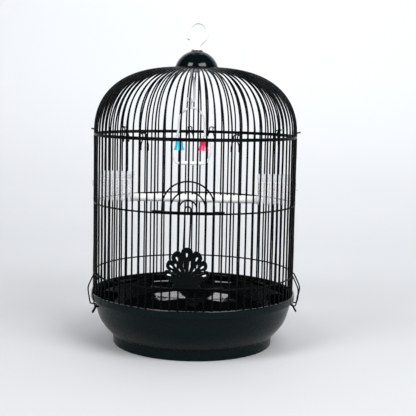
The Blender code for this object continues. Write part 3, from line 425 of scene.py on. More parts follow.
def make_dome_clips():
    """Hairpins sprung between two wires, their loops bent out over the dome's base ring."""
    inner, over = 155.5, 334.9
    half = [(inner, PITCH / 2, 313.6), (inner, PITCH / 2, 321.8), (inner, 1.7, 326.6), (inner, 1.16, 331.0),
            (inner + 0.2, 1.15, over - 0.6), (inner + 1.0, 1.15, over + 1.6), (158.5, 1.15, over + 2.8),
            (162.0, 1.2, over + 3.6), (163.8, 0.85, over + 4.1), (164.05, 0.3, over + 4.3)]
    for number, gap in enumerate(CLIP_GAPS, start=1):
        build = bmesh.new()
        left = [around(r, gap * PITCH - a, z) for r, a, z in half]
        right = [around(r, gap * PITCH + a, z) for r, a, z in reversed(half)]
        add_tube(build, curved(left + right), CLIP_WIRE / 2)
        piece(f"clip_{number}", build, WIRE_FINISH, "cage", [f"dome_clip_{number}"])


# ---- Door and its fan ----

DOOR_RETURN, DOOR_BAR_POINTS, DOOR_HOOK_POINTS = 12.0, 24, 8
DOOR_ARCHES = ((3.0, 272.0, 0.0), (2.0, 257.5, 0.0), (1.0, 245.2, 0.0), (0.33, 236.0, 4.0))  # pitches, top, lean
LEG_POINTS, ARCH_POINTS, LEG_BEND, ARCH_THIN = 5, 20, 1.6, 0.48
FAN_WIDTH, FAN_HEIGHT, FAN_HUB_Z, FAN_RIBS, FAN_SCALLOP = 67.0, 60.0, 14.0, 7, 6.0
FAN_FOOT_Z, FAN_BACK, FAN_THICKNESS, FAN_BEVEL, PETAL_POINTS = 117.7, 163.4, 2.3, 0.3, 12
FAN_SLOT = ((8, 0), (14, 0.55), (25, 1.6), (27, 1.2), (27.6, 0), (27, -1.2), (25, -1.6), (14, -0.55))
FAN_CLIP_X, FAN_CLIP_HEIGHTS, FAN_CLIP_TIP = 12.65, (7.2, 39.6), -160.1
DROP_SPOT, DROP_LENGTH, DROP_WIDTH, DROP_POINTS = 0.76, 3.6, 1.25, 20
DROP_ROWS = ((1.0, 0.0), (0.8, 0.16), (0.4, 0.24))  # share of the size, and height over the plate


def door_bar(z):
    """A bar of the door: bent round the guide wire at each end and returned along the inside."""
    step = degrees(DOOR_RETURN / CAGE_RADIUS)
    reach = (DOOR_RADIUS - DOOR_RETURN_RADIUS) / 2
    path = [around(DOOR_RETURN_RADIUS, -GUIDE + step, z), around(DOOR_RETURN_RADIUS, -GUIDE + step / 2, z)]
    for i in range(DOOR_HOOK_POINTS + 1):
        turn = pi * i / DOOR_HOOK_POINTS
        path.append(around(CAGE_RADIUS - reach * cos(turn), -GUIDE - degrees(reach * sin(turn) / CAGE_RADIUS), z))
    path += [around(DOOR_RADIUS, -GUIDE + 2 * GUIDE * i / DOOR_BAR_POINTS, z)
             for i in range(1, DOOR_BAR_POINTS // 2 + 1)]
    return path + [Vector((-p.x, p.y, p.z)) for p in reversed(path[:-1])]


def make_door():
    """Two bars that slide on the guide wires, and four arches welded over them."""
    build = bmesh.new()
    add_tube(build, door_bar(DOOR_LOW), DOOR_WIRE / 2, sides=10)
    add_tube(build, door_bar(DOOR_HIGH), DOOR_WIRE / 2, sides=10)
    for pitches, top, lean in DOOR_ARCHES:
        half = CAGE_RADIUS * radians(pitches * PITCH)
        aside = degrees(lean / DOOR_RADIUS)
        spring = top - half
        legs = [spring - (spring - DOOR_LOW) * k / LEG_POINTS for k in range(1, LEG_POINTS + 1)]
        bend = [aside * ((spring - z) / (spring - DOOR_LOW)) ** LEG_BEND for z in legs]
        left = [around(DOOR_RADIUS, -pitches * PITCH - b, z) for b, z in zip(bend, legs)]
        right = [around(DOOR_RADIUS, pitches * PITCH - b, z) for b, z in zip(bend, legs)]
        turns = [pi * i / ARCH_POINTS for i in range(ARCH_POINTS + 1)]
        arch = [around(DOOR_RADIUS, -pitches * PITCH * cos(turn), spring + half * sin(turn)) for turn in turns]
        add_tube(build, left[::-1] + arch + right, DOOR_WIRE * ARCH_THIN, sides=10)
    piece("door_wires", build, WIRE_FINISH, "door", ["door"])


def fan_reach(turn):
    """The fan's radius from its hub in this direction."""
    wide, tall = FAN_WIDTH / 2, FAN_HEIGHT - FAN_HUB_Z
    return 1 / sqrt((cos(turn) / wide) ** 2 + (sin(turn) / tall) ** 2)


def flat_plate(outlines, thickness, bevel):
    """A flat plate with holes, from closed outlines in the XZ plane, with its edges rounded."""
    curve = bpy.data.curves.new("plate", "CURVE")
    curve.dimensions = "2D"
    curve.fill_mode = "BOTH"
    curve.extrude = (thickness / 2 - bevel) * 0.001
    curve.bevel_depth = bevel * 0.001
    curve.bevel_resolution = 1
    curve.offset = -bevel * 0.001
    for outline in outlines:
        spline = curve.splines.new("POLY")
        spline.points.add(len(outline) - 1)
        for slot, (x, z) in zip(spline.points, outline):
            slot.co = (x * 0.001, z * 0.001, 0.0, 1.0)
        spline.use_cyclic_u = True
    flat = placed("plate", curve)
    flat.rotation_euler = (pi / 2, 0, 0)
    build = taken_over(flat)
    bmesh.ops.remove_doubles(build, verts=build.verts, dist=0.000005)
    return build


def make_fan_plate():
    """The openwork plate with seven petals over a short foot, and the two pairs of clips on its back."""
    edge = []
    for rib in range(FAN_RIBS):
        for i in range(PETAL_POINTS):
            turn = pi * (rib + i / PETAL_POINTS) / FAN_RIBS
            offset = abs(2 * i / PETAL_POINTS - 1)
            radius = fan_reach(turn) - FAN_SCALLOP * (1 - sqrt(1 - offset ** 2))
            edge.append((radius * cos(turn), FAN_HUB_Z + radius * sin(turn)))
    waist, foot = 0.25 * FAN_WIDTH, 0.3 * FAN_WIDTH
    edge.append((FAN_SCALLOP - FAN_WIDTH / 2, FAN_HUB_Z))
    edge += [(-waist, FAN_HUB_Z * 0.45), (-foot, FAN_HUB_Z * 0.3), (-foot, 0.0), (foot, 0.0)]
    edge += [(foot, FAN_HUB_Z * 0.3), (waist, FAN_HUB_Z * 0.45)]
    slots = []
    for rib in range(1, FAN_RIBS):
        turn = pi * rib / FAN_RIBS
        along, across = Vector((cos(turn), sin(turn))), Vector((-sin(turn), cos(turn)))
        slots.append([tuple(along * a + across * b + Vector((0, FAN_HUB_Z))) for a, b in FAN_SLOT])
    plate = flat_plate([edge] + slots, FAN_THICKNESS, FAN_BEVEL)
    bmesh.ops.translate(plate, verts=plate.verts, vec=mm(0, -FAN_BACK - 1.2, FAN_FOOT_Z))
    for x in (-FAN_CLIP_X, FAN_CLIP_X):
        for height in FAN_CLIP_HEIGHTS:
            z = FAN_FOOT_Z + height
            for near, far in ((-2.5, -1.25), (1.25, 2.5)):
                add_block(plate, (x + near, -FAN_BACK - 0.4, z - 2.4), (x + far, FAN_CLIP_TIP, z + 2.4), 0.3)
    piece("fan_plate", plate, PLATE_FINISH, "door", ["door_plate"], smooth=30)


def make_fan_drops():
    """A painted drop on each petal of the fan, a little proud of the plate."""
    drops = bmesh.new()
    front = -FAN_BACK - 2.25
    for rib in range(FAN_RIBS):
        turn = pi * (rib + 0.5) / FAN_RIBS
        along, across = mm(cos(turn), 0, sin(turn)), mm(-sin(turn), 0, cos(turn))
        middle = mm(0, front, FAN_FOOT_Z + FAN_HUB_Z) + along * fan_reach(turn) * DROP_SPOT
        rings = []
        for size, lift in DROP_ROWS:
            ring = []
            for k in range(DROP_POINTS):
                a = 2 * pi * k / DROP_POINTS
                wide = DROP_WIDTH * (1 + 0.35 * cos(a)) * sin(a)
                ring.append(drops.verts.new(middle + (along * DROP_LENGTH * cos(a) + across * wide) * size
                                            + mm(0, -lift, 0)))
            rings.append(ring)
        for one, two in zip(rings, rings[1:]):
            for k in range(DROP_POINTS):
                n = (k + 1) % DROP_POINTS
                drops.faces.new((one[k], one[n], two[n], two[k]))
        drops.faces.new(rings[-1])
        drops.faces.new(rings[0][::-1])
    piece("fan_drops", drops, PAINT_FINISH, "door", ["door_plate"])


# ---- Latches ----

LATCH_EYE, LATCH_OUT = 3.4, 11.9  # the eyes' radius, and how far the bow stands outside the cage's wires
LATCH_HOOK_Z, LATCH_TUCK, LATCH_CORNER = 68.5, 159.7, 167.0
EYE_REST = (0.9, 1.1, 0.3)  # half a latch wire, half a ring wire and the play between them


def make_latch(side_name, gap):
    """A one-wire latch: two eyes on the lower ring, a bow outside the rim and a hook under the rim's band."""
    azimuth, tail = gap * PITCH, degrees(2.3 / CAGE_RADIUS)
    out, hook_z, tuck, outside = CAGE_RADIUS + LATCH_OUT, LATCH_HOOK_Z, LATCH_TUCK, LATCH_CORNER
    eye_z = LOWER_Z - LATCH_EYE * cos(radians(15)) + sum(EYE_REST)
    side = [(CAGE_RADIUS + LATCH_EYE * cos(radians(t)), PITCH, eye_z + LATCH_EYE * sin(radians(t)))
            for t in range(215, 20, -20)]
    side += [(out - 4.6, PITCH, LOWER_Z - 8), (out, PITCH, LOWER_Z - 20), (out - 1.6, PITCH, RIM_Z - 3),
             (outside + 0.2, PITCH, hook_z + 2.2), (outside - 1.6, PITCH, hook_z + 0.3), (163.4, 0.97 * PITCH, hook_z),
             (tuck + 0.3, 0.85 * PITCH, hook_z), (tuck, 0.6 * PITCH, hook_z), (tuck, 1.7 * tail, hook_z),
             (tuck + 0.5, tail, hook_z - 1.3), (tuck + 3.0, tail, hook_z - 5.4), (tuck + 5.6, tail, hook_z - 9.9),
             (tuck + 6.5, 0.5 * tail, hook_z - 11.4)]
    path = [around(r, azimuth - a, z) for r, a, z in side]
    path += [around(r, azimuth + a, z) for r, a, z in reversed(side)]
    build = bmesh.new()
    add_tube(build, curved(path, 3), LATCH_WIRE / 2, sides=10)
    piece(f"latch_wire_{side_name}", build, WIRE_FINISH, f"latch_{side_name}", [f"latch_{side_name}"])


# ---- Cups and perch ----

CUP_CHAMFER, CUP_ROUNDING, CUP_WALL, CUP_BAND = 12.0, 3.0, 1.4, 9.0
CUP_LIP, CUP_LIP_CORNER, CUP_LIP_RADIUS = 0.5, 3.4, 0.75
TAB_Y, TAB_HALF, RIB_SPACING = 6.2, 2.7, 6.0
SOCKET_MOUTH, SOCKET_LENGTH, SOCKET_DEPTH = 97.7, 8.0, 4.5


def sort_faces(build):
    """Gives the faces a fixed order. Cuts and bevels leave them in one that changes from run to run."""
    build.verts.index_update()
    count = len(build.verts)
    build.faces.sort(key=lambda face: face.verts[0].index * count + face.verts[1].index)


def cup_shell():
    """The right cup's thin wall, open at the top, with an edge where the frosted band ends."""
    outline = [(CUP_FRONT, CUP_TOP + 3), (CUP_FRONT, CUP_BASE + CUP_CHAMFER),
               (CUP_FRONT + CUP_CHAMFER * 0.8, CUP_BASE), (CUP_BACK, CUP_BASE), (CUP_BACK, CUP_TOP + 3)]
    build = bmesh.new()
    front = [build.verts.new(mm(x, -CUP_HALF, z)) for x, z in outline]
    back = [build.verts.new(mm(x, CUP_HALF, z)) for x, z in outline]
    build.faces.new(front)
    build.faces.new(back[::-1])
    for k in range(len(outline)):
        build.faces.new((front[k], front[k - 1], back[k - 1], back[k]))
    bmesh.ops.recalc_face_normals(build, faces=build.faces)
    bmesh.ops.bevel(build, geom=list(build.edges), offset=CUP_ROUNDING * 0.001, segments=4, profile=0.5,
                    affect="EDGES")
    for height in (CUP_TOP, CUP_TOP - CUP_BAND):
        geometry = list(build.verts) + list(build.edges) + list(build.faces)
        bmesh.ops.bisect_plane(build, geom=geometry, plane_co=mm(0, 0, height), plane_no=Vector((0, 0, 1)),
                               clear_outer=height == CUP_TOP)
    sort_faces(build)
    shell = placed("cup", meshed("cup", build))
    wall = shell.modifiers.new("wall", "SOLIDIFY")
    wall.thickness = CUP_WALL * 0.001
    wall.offset = -1
    wall.use_even_offset = True
    return taken_over(shell)


def make_cup(side_name, side):
    """A thin clear cup with a frosted band, ribs, tabs through the wires and a socket for the perch."""
    build = cup_shell()
    front, back, half = CUP_FRONT - CUP_LIP, CUP_BACK + CUP_LIP, CUP_HALF + CUP_LIP
    lip = filleted([(x, y, CUP_LIP_CORNER) for x, y in ((front, -half), (back, -half), (back, half), (front, half))],
                   closed=True)
    for z in (CUP_TOP - 0.9, CUP_TOP - 4.6):
        add_tube(build, [mm(p.x, p.y, z) for p in lip], CUP_LIP_RADIUS, closed=True)
    for y in (-TAB_Y, TAB_Y):
        add_block(build, (CUP_BACK - 0.6, y - TAB_HALF, 247.4), (162.9, y + TAB_HALF, 257.2), 0.8)
        add_block(build, (CUP_BACK - 0.6, y - TAB_HALF, CUP_BASE + 0.1), (161.2, y + TAB_HALF, CUP_BASE + 3), 0.6)
    for step in range(-3, 4):
        x = (CUP_FRONT + CUP_BACK) / 2 + 4 + step * RIB_SPACING
        for y in (-CUP_HALF - 0.1, CUP_HALF + 0.1):
            add_tube(build, [mm(x, y, CUP_BASE + 6), mm(x, y, CUP_TOP - 12)], 0.45, sides=6)
    bore, rim = PERCH_RADIUS + 0.3, PERCH_RADIUS + 1.8
    socket = bmesh.new()
    add_turned(socket, [(bore, 0), (rim - 0.4, 0), (rim, 0.4), (rim, SOCKET_LENGTH), (0, SOCKET_LENGTH),
                        (0, SOCKET_DEPTH + 0.6), (bore, SOCKET_DEPTH + 0.6), (bore, 0)], 40)
    lay_along_x(socket, mm(SOCKET_MOUTH, 0, PERCH_Z))
    build.from_mesh(meshed("socket", socket))
    if side < 0:
        bmesh.ops.rotate(build, verts=build.verts, cent=Vector((0, 0, 0)), matrix=Matrix.Rotation(pi, 3, "Z"))
    sort_faces(build)
    made = piece(f"cup_{side_name}_clear", build, CLEAR_FINISH, "cage", [f"cup_{side_name}"])
    made.data.materials.append(FROST_FINISH)
    for face in made.data.polygons:
        middle = face.center
        in_band, in_tab = middle.z > 0.001 * (CUP_TOP - CUP_BAND - 0.2), abs(middle.x) > 0.001 * (CUP_BACK + 0.3)
        in_socket = abs(middle.x) < 0.001 * (CUP_FRONT - 0.7)
        face.material_index = int(in_band or in_tab or in_socket)


def make_perch():
    """A moulded bar with a faint parting line and rounded ends."""
    build = bmesh.new()
    stations = filleted([(0, -PERCH_HALF, 0), (PERCH_RADIUS, -PERCH_HALF, 0.8), (PERCH_RADIUS, PERCH_HALF, 0.8),
                         (0, PERCH_HALF, 0)])
    middle = len(stations) // 2
    stations[middle:middle] = [(PERCH_RADIUS, -PERCH_HALF + 2 * PERCH_HALF * k / 10) for k in range(1, 10)]
    add_turned(build, stations, 48)
    for vert in build.verts:
        if abs(vert.co.y) < 0.0003 and abs(vert.co.x) > 0.005:
            vert.co.x *= 1.012
    lay_along_x(build, mm(0, 0, PERCH_Z))
    piece("perch_bar", build, PERCH_FINISH, "cage", ["perch"])


# ---- Cap and hook ----

CAP_WALL, CAP_BORE, CAP_RIDGE = 1.8, 3.6, 9.5
HOOK_RADIUS, HOOK_BALL, HOOK_FOOT = 2.9, 3.35, 428.2
HOOK_LINE = ((0, 0), (0.5, 2.5), (5.0, 6.8), (12.0, 13.6), (15.4, 23.1), (14.8, 29.9), (10.0, 36.9), (2.0, 39.8),
             (-5.7, 37.7), (-11.1, 31.9), (-12.8, 24.3), (-13.0, 15.6))


def make_cap():
    """The glossy cap, with a thin brim edge and a low ridge round the hook's stem."""
    height = CAP_TOP - CAP_FOOT
    ball = (CAP_RADIUS ** 2 + height ** 2) / (2 * height)

    def dome(inset, low_z, steps):
        radius = ball - inset
        start = asin((low_z - CAP_TOP + ball) / radius)
        turns = [start + (pi / 2 - start) * i / steps for i in range(steps + 1)]
        return [(radius * cos(turn), CAP_TOP - ball + radius * sin(turn), 0) for turn in turns]

    outer = [p for p in dome(0, CAP_FOOT + 0.5, 22) if p[0] > CAP_RIDGE + 0.7]
    inner = [p for p in dome(CAP_WALL, CAP_FOOT + 0.2, 18) if p[0] > CAP_BORE + 0.4]
    line = [(CAP_BORE, CAP_TOP, 0.2), (8.4, CAP_TOP, 0.5), (9.4, CAP_TOP - 0.5, 0.4), (CAP_RIDGE, CAP_TOP - 1.5, 0.3)]
    line += outer[::-1] + [(CAP_RADIUS, CAP_FOOT, 0.2), (CAP_RADIUS - 1.6, CAP_FOOT, 0.2)]
    line += inner + [(CAP_BORE, CAP_TOP - 1.9, 0.2), (CAP_BORE, CAP_TOP, 0.2)]
    build = bmesh.new()
    add_turned(build, filleted(line), 96)
    bmesh.ops.remove_doubles(build, verts=build.verts, dist=0.000005)
    piece("cap_dome", build, CAP_FINISH, "cage", ["cap"], smooth=35)


def make_hook():
    """The white hook: a stem, a stepped collar and a bent rod with a small ball at its tip."""
    base = COLLAR_FOOT + COLLAR_HEIGHT
    path = curved([mm(x, 0, base + z) for x, z in HOOK_LINE], 6)
    build = bmesh.new()
    add_tube(build, [mm(0, 0, HOOK_FOOT), mm(0, 0, 440), mm(0, 0, 455)] + path, HOOK_RADIUS, sides=20)
    add_ball(build, path[-1], HOOK_BALL, segments=20)
    collar = [(0, base + 0.9, 0), (3.6, base + 0.9, 0.3), (5.4, base + 0.2, 0.5), (COLLAR_RADIUS - 0.6, base, 0.6),
              (COLLAR_RADIUS, base - 0.7, 0.5), (COLLAR_RADIUS, COLLAR_FOOT, 0.4), (0, COLLAR_FOOT, 0)]
    add_turned(build, filleted(collar), 48)
    piece("hook_rod", build, WHITE_FINISH, "hook", ["hook"], smooth=40)


# ---- Swing and bells ----

STRAP_LINE = ((-8.0, 432.4), (-8.0, 427), (-3.7, 416), (-3.0, 404), (-3.0, 393), (-3.0, 387.4), (-4.4, 384.7),
              (-8.0, 383.9), (-11.6, 384.7), (-13.0, 387.4), (-13.0, 390.6))
STRAP_RADIUS, WASHER_TOP, WASHER_FOOT, WASHER_BORE, WASHER_RADIUS = 2.1, 433.8, 432.1, 3.6, 9.0
SWING_BAR_Z, BAR_HALF, BAR_RADIUS, BAR_BORE, BAR_BORE_HALF = 286.8, 19, 2.9, 1.9, 15
HOOP_LINE = ((0, 374.5), (5.7, 373.2), (11.0, 370.3), (18.4, 361.3), (20.5, 352.3), (21.0, 338.5), (23.5, BELL_PEG_Z),
             (28.8, 323.5), (32.0, 312.5), (29.8, 299.5), (25.0, 289.3), (21.8, SWING_BAR_Z), (15.2, SWING_BAR_Z))
HOOP_RADIUS, HOOP_RING, HOOP_RING_RADIUS, HOOP_NECK_RADIUS, HOOP_KNOB, PEG_RADIUS = 1.65, 3.75, 1.45, 1.6, 2.65, 1.15
BELL_SHOULDER, BELL_FLARE, BELL_FLARE_POWER, BELL_WAIST, BELL_WALL, BELL_ROWS = 5.8, 2.7, 2.2, 0.3, 1.1, 14
BELL_EYE, BELL_EYE_RADIUS, CLAPPER_RADIUS, BEAD_RADIUS = 2.6, 0.9, 0.55, 1.8


def make_swing():
    """The strap under the hub plate, the pear-shaped hoop that hangs in its hook, and the hoop's bar."""
    hanger = bmesh.new()
    for z in (433.4, 432.6):
        add_tube(hanger, [around(6.3, 10 * k, z) for k in range(36)], 0.75, closed=True)
    washer = [(WASHER_BORE, WASHER_TOP, 0.2), (WASHER_RADIUS, WASHER_TOP, 0.4), (WASHER_RADIUS, WASHER_FOOT, 0.4),
              (WASHER_BORE, WASHER_FOOT, 0.2), (WASHER_BORE, WASHER_TOP, 0.2)]
    add_turned(hanger, filleted(washer), 40)
    add_tube(hanger, curved([mm(x, 0, z) for x, z in STRAP_LINE], 5), STRAP_RADIUS, sides=14)
    piece("swing_strap", hanger, SWING_FINISH, "cage", ["swing_hanger"])
    hoop = bmesh.new()
    right = curved([mm(SWING_X + x, 0, z) for x, z in HOOP_LINE])
    left = [Vector((2 * SWING_X * 0.001 - p.x, p.y, p.z)) for p in reversed(right[1:])]
    add_tube(hoop, left + right, HOOP_RADIUS, sides=14)
    turns = [2 * pi * k / 24 for k in range(24)]
    ring = [mm(PIVOT_X, HOOP_RING * cos(turn), PIVOT_Z + HOOP_RING * sin(turn)) for turn in turns]
    add_tube(hoop, ring, HOOP_RING_RADIUS, sides=10, closed=True)
    add_tube(hoop, [mm(PIVOT_X, 0, PIVOT_Z - 4.2), mm(SWING_X - 0.4, 0, 374.6)], HOOP_NECK_RADIUS, sides=12)
    for side in (-1, 1):
        add_ball(hoop, mm(SWING_X + side * 11.0, 0, 370.3), HOOP_KNOB)
        peg = [mm(SWING_X + side * 24, 0, BELL_PEG_Z), mm(SWING_X + side * 17.6, 0, BELL_PEG_Z)]
        add_tube(hoop, peg, PEG_RADIUS, sides=12)
    piece("swing_hoop", hoop, SWING_FINISH, "swing", ["swing_frame"])
    bar = bmesh.new()
    end = BAR_HALF - 0.4
    line = [(0, -BAR_BORE_HALF, 0), (BAR_BORE, -BAR_BORE_HALF, 0.1), (BAR_BORE, -BAR_HALF, 0.1),
            (BAR_RADIUS - 0.3, -BAR_HALF, 0.3), (BAR_RADIUS, -end, 0.3), (BAR_RADIUS, end, 0.3),
            (BAR_RADIUS - 0.3, BAR_HALF, 0.3), (BAR_BORE, BAR_HALF, 0.1), (BAR_BORE, BAR_BORE_HALF, 0.1),
            (0, BAR_BORE_HALF, 0)]
    add_turned(bar, filleted(line), 32)
    lay_along_x(bar, mm(SWING_X, 0, SWING_BAR_Z))
    piece("swing_bar", bar, PERCH_FINISH, "swing", ["swing_perch"])


def make_bell(colour, material, side):
    """A thin bell with a round shoulder, a flared lip and an eye, and its clapper."""
    centre = mm(SWING_X + side * BELL_HALF, 0, 0)
    top = BELL_FOOT + BELL_HEIGHT

    def wall(inset):
        rows = []
        for i in range(BELL_ROWS + 1):
            t = i / BELL_ROWS
            radius = BELL_SHOULDER + BELL_FLARE * t ** BELL_FLARE_POWER - BELL_WAIST * sin(pi * t) ** 2
            rows.append((radius - inset, top - 1.2 - (top - 1.2 - BELL_FOOT) * t, 0))
        return rows

    outer = [(0, top, 0), (3.6, top, 0.5), (5.0, top - 0.4, 0.6)] + wall(0)
    inner = wall(BELL_WALL)[::-1] + [(3.4, top - 1.3, 0.4), (0, top - 1.3, 0)]
    build = bmesh.new()
    add_turned(build, filleted(outer + inner), 40, centre)
    add_tube(build, [centre + mm(0, 0, top - 0.6), centre + mm(0, 0, top + 0.8)], 1.3, sides=12)
    piece(f"bell_{colour}_shell", build, material, f"bell_{colour}", [f"bell_{colour}"])
    eye = bmesh.new()
    add_tube(eye, [centre + mm(0, 0, top - 0.6), centre + mm(0, 0, BELL_PEG_Z - 2.8)], 1.0, sides=12)
    turns = [pi * k / 10 for k in range(20)]
    ring = [centre + mm(0, BELL_EYE * cos(turn), BELL_PEG_Z + BELL_EYE * sin(turn)) for turn in turns]
    add_tube(eye, ring, BELL_EYE_RADIUS, sides=10, closed=True)
    piece(f"bell_{colour}_eye", eye, SWING_FINISH, f"bell_{colour}", [f"bell_{colour}"])
    clapper = bmesh.new()
    bead = centre + mm(0, 0, BELL_FOOT + 2)
    add_tube(clapper, [bead, centre + mm(0, 0, top - 1.6)], CLAPPER_RADIUS, sides=10)
    add_ball(clapper, bead, BEAD_RADIUS)
    piece(f"clapper_{colour}_bead", clapper, STEEL_FINISH, f"clapper_{colour}", [f"bell_clapper_{colour}"])


# ---- Stage, light and camera, in metres ----

STAGE_WIDE, STAGE_BACK, STAGE_FRONT, STAGE_CORNER, STAGE_SWEEP = 3.0, 2.0, -3.2, 1.3, 0.9
STAGE_LOW_WALL, STAGE_BACKDROP, FLOOR_DROP = 1.35, 2.65, 0.0002
CORNER_STEPS, SWEEP_STEPS = 8, 16
PAPER_FROM, PAPER_SPAN = -3.2, 6.0
# Painted light and shade on the paper: the tones rise up the backdrop as painted light, and the low walls in front are
# dark as painted shade.
PAPER_PAINTED_TONES = ((-2.6, 0.16), (-1.8, 0.38), (-0.9, 0.48), (-0.3, 0.49), (-0.2, 0.498), (-0.1, 0.5), (0.0, 0.497),
               (0.1, 0.5), (0.2, 0.516), (0.3, 0.548), (0.5, 0.563), (0.8, 0.62), (1.1, 0.65), (1.67, 0.688),
               (2.0, 0.748), (2.33, 0.79), (2.7, 0.81))
PAPER_EVEN, PAPER_SHADE_FALL = 1.6, 0.42  # painted shade: the paper darkens beside the middle, by this share for each metre
PAPER_TINT = (1.0, 1.02, 1.05)
WORLD_COLOUR, WORLD_STRENGTH = (0.92, 0.95, 1.0, 1.0), 0.04
PHOTO_SIDE, FOCAL_PIXELS, SHIFT_PIXELS, SENSOR = 416, 970.15, 13.81, 36.0
CAMERA_PLACE, CAMERA_AZIMUTH, CAMERA_DOWN, CAMERA_ROLL = (0, -1.5347, 0.3954), radians(3.2), 0.1167, 0.0179


def make_stage():
    """A pale floor that curves up on every side: a backdrop behind, low walls of the same paper elsewhere."""
    build = bmesh.new()
    right, left = STAGE_WIDE - STAGE_CORNER, STAGE_CORNER - STAGE_WIDE
    behind, before = STAGE_BACK - STAGE_CORNER, STAGE_FRONT + STAGE_CORNER
    flat = STAGE_CORNER - STAGE_SWEEP
    columns = []
    for number, (x, y) in enumerate(((right, behind), (left, behind), (left, before), (right, before))):
        for step in range(CORNER_STEPS + 1):
            turn = pi / 2 * (number + step / CORNER_STEPS)
            heights = [(flat - 0.2, -FLOOR_DROP)]
            for k in range(SWEEP_STEPS + 1):
                rise = pi / 2 * k / SWEEP_STEPS
                heights.append((flat + STAGE_SWEEP * sin(rise), STAGE_SWEEP - STAGE_SWEEP * cos(rise) - FLOOR_DROP))
            heights.append((STAGE_CORNER, STAGE_LOW_WALL + STAGE_BACKDROP * max(0.0, sin(turn)) ** 2))
            columns.append([build.verts.new((x + out * cos(turn), y + out * sin(turn), z)) for out, z in heights])
    for one, two in zip(columns, columns[1:] + columns[:1]):
        for k in range(SWEEP_STEPS + 2):
            build.faces.new((one[k], two[k], two[k + 1], one[k + 1]))
    ground = build.faces.new([column[0] for column in columns])
    for face in build.faces:
        face.smooth = face is not ground
    floor = placed("floor", meshed("floor", build))
    floor.data.materials.append(paper_with_painted_light())


def paper_with_painted_light():
    """Seamless paper with painted light and shade: its tone set along the sweep (floor Y plus height) and falling off
    to the sides as painted shade.
    """
    made = bpy.data.materials.new("paper")
    made.use_nodes = True
    nodes, links = made.node_tree.nodes, made.node_tree.links
    shader = nodes["Principled BSDF"]
    place = nodes.new("ShaderNodeTexCoord")
    split = nodes.new("ShaderNodeSeparateXYZ")
    links.new(place.outputs["Object"], split.inputs["Vector"])

    def math(operation, one, two):
        node = nodes.new("ShaderNodeMath")
        node.operation = operation
        for socket, value in zip(node.inputs, (one, two)):
            if isinstance(value, float):
                socket.default_value = value
            else:
                links.new(value, socket)
        return node.outputs["Value"]

    # The ramp paints light and shade along the sweep.
    along = math("ADD", split.outputs["Y"], split.outputs["Z"])
    share = math("DIVIDE", math("SUBTRACT", along, PAPER_FROM), PAPER_SPAN)
    ramp = nodes.new("ShaderNodeValToRGB")
    stops = ramp.color_ramp.elements
    while len(stops) > 1:
        stops.remove(stops[-1])
    for number, (spot, tone) in enumerate(PAPER_PAINTED_TONES):
        share_here = (spot - PAPER_FROM) / PAPER_SPAN
        stop = stops[0] if number == 0 else stops.new(share_here)
        stop.position = share_here
        stop.color = (*(tone * tint for tint in PAPER_TINT), 1.0)
    links.new(share, ramp.inputs["Fac"])
    # Painted shade: the paper darkens beside the middle.
    aside = math("ABSOLUTE", split.outputs["X"], 0.0)
    beside = math("MAXIMUM", math("SUBTRACT", aside, PAPER_EVEN), 0.0)
    painted_side_shade = math("SUBTRACT", 1.0, math("MULTIPLY", beside, PAPER_SHADE_FALL))
    fade = nodes.new("ShaderNodeVectorMath")
    fade.operation = "SCALE"
    links.new(ramp.outputs["Color"], fade.inputs[0])
    links.new(painted_side_shade, fade.inputs["Scale"])
    links.new(fade.outputs["Vector"], shader.inputs["Base Color"])
    shader.inputs["Roughness"].default_value = 0.7
    shader.inputs["Specular IOR Level"].default_value = 0.2
    return made


def area_light(name, place, target, size, power, reflected):
    """A soft box that faces the target. One that isn't reflected only fills in the shadows."""
    data = bpy.data.lights.new(name, "AREA")
    data.shape = "RECTANGLE"
    data.size, data.size_y = size
    data.energy = power
    lamp = placed(name, data)
    lamp.location = place
    lamp.rotation_euler = (Vector(target) - Vector(place)).to_track_quat("-Z", "Y").to_euler()
    lamp.visible_glossy = reflected


def sky_place(azimuth, elevation, distance, target):
    """A place seen from the target at this azimuth and elevation, both in degrees."""
    flat = distance * cos(radians(elevation))
    turn = radians(azimuth)
    return Vector(target) + Vector((flat * sin(turn), -flat * cos(turn), distance * sin(radians(elevation))))


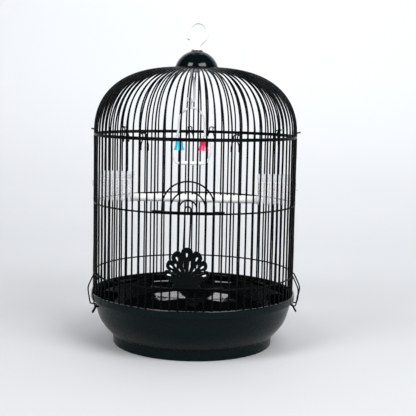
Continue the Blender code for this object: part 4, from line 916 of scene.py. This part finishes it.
def make_light():
    """Two broad windows in front, which the cap and the tray's inside mirror, and soft fill."""
    middle = (0, 0, 0.3)
    area_light("window_left", sky_place(-38, 36.5, 2.2, middle), middle, (0.8, 1.2), 36.0, True)
    area_light("window_right", sky_place(40, 36.5, 2.2, middle), middle, (1.3, 1.2), 54.0, True)
    area_light("overhead", sky_place(50, 74, 2.4, middle), middle, (2.4, 1.8), 23.0, False)
    area_light("backdrop_wash", (0, 0.7, 2.6), (0, 2.2, 0.8), (3.4, 0.6), 25.0, False)
    world = bpy.data.worlds.new("studio")
    bpy.context.scene.world = world
    world.use_nodes = True
    world.node_tree.nodes["Background"].inputs["Color"].default_value = WORLD_COLOUR
    world.node_tree.nodes["Background"].inputs["Strength"].default_value = WORLD_STRENGTH


def make_camera():
    """The photo's view: from 3.2 degrees to the door's right and 6.7 degrees down."""
    data = bpy.data.cameras.new("view")
    data.sensor_width = SENSOR
    data.lens = FOCAL_PIXELS / PHOTO_SIDE * SENSOR
    data.shift_x = SHIFT_PIXELS / PHOTO_SIDE
    camera = placed("view", data)
    camera.matrix_world = (Matrix.Rotation(CAMERA_AZIMUTH, 4, "Z") @ Matrix.Translation(CAMERA_PLACE)
                           @ Matrix.Rotation(pi / 2 - CAMERA_DOWN, 4, "X") @ Matrix.Rotation(CAMERA_ROLL, 4, "Z"))
    bpy.context.scene.camera = camera
    bpy.context.scene.view_settings.view_transform = "Standard"


def plain_nodes():
    """New materials for the CAD nodes that stay."""
    for node in ("hub_plate", "hook_retainer"):
        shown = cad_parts[node]
        shown.data.materials.clear()
        shown.data.materials.append(STEEL_FINISH)


make_tray()
make_wall()
make_dome()
make_dome_clips()
make_door()
make_fan_plate()
make_fan_drops()
make_latch("left", -14.5)
make_latch("right", 18.5)
make_cup("left", -1)
make_cup("right", 1)
make_perch()
make_cap()
make_hook()
make_swing()
make_bell("blue", BLUE_FINISH, -1)
make_bell("red", RED_FINISH, 1)
plain_nodes()
make_stage()
make_light()
make_camera()
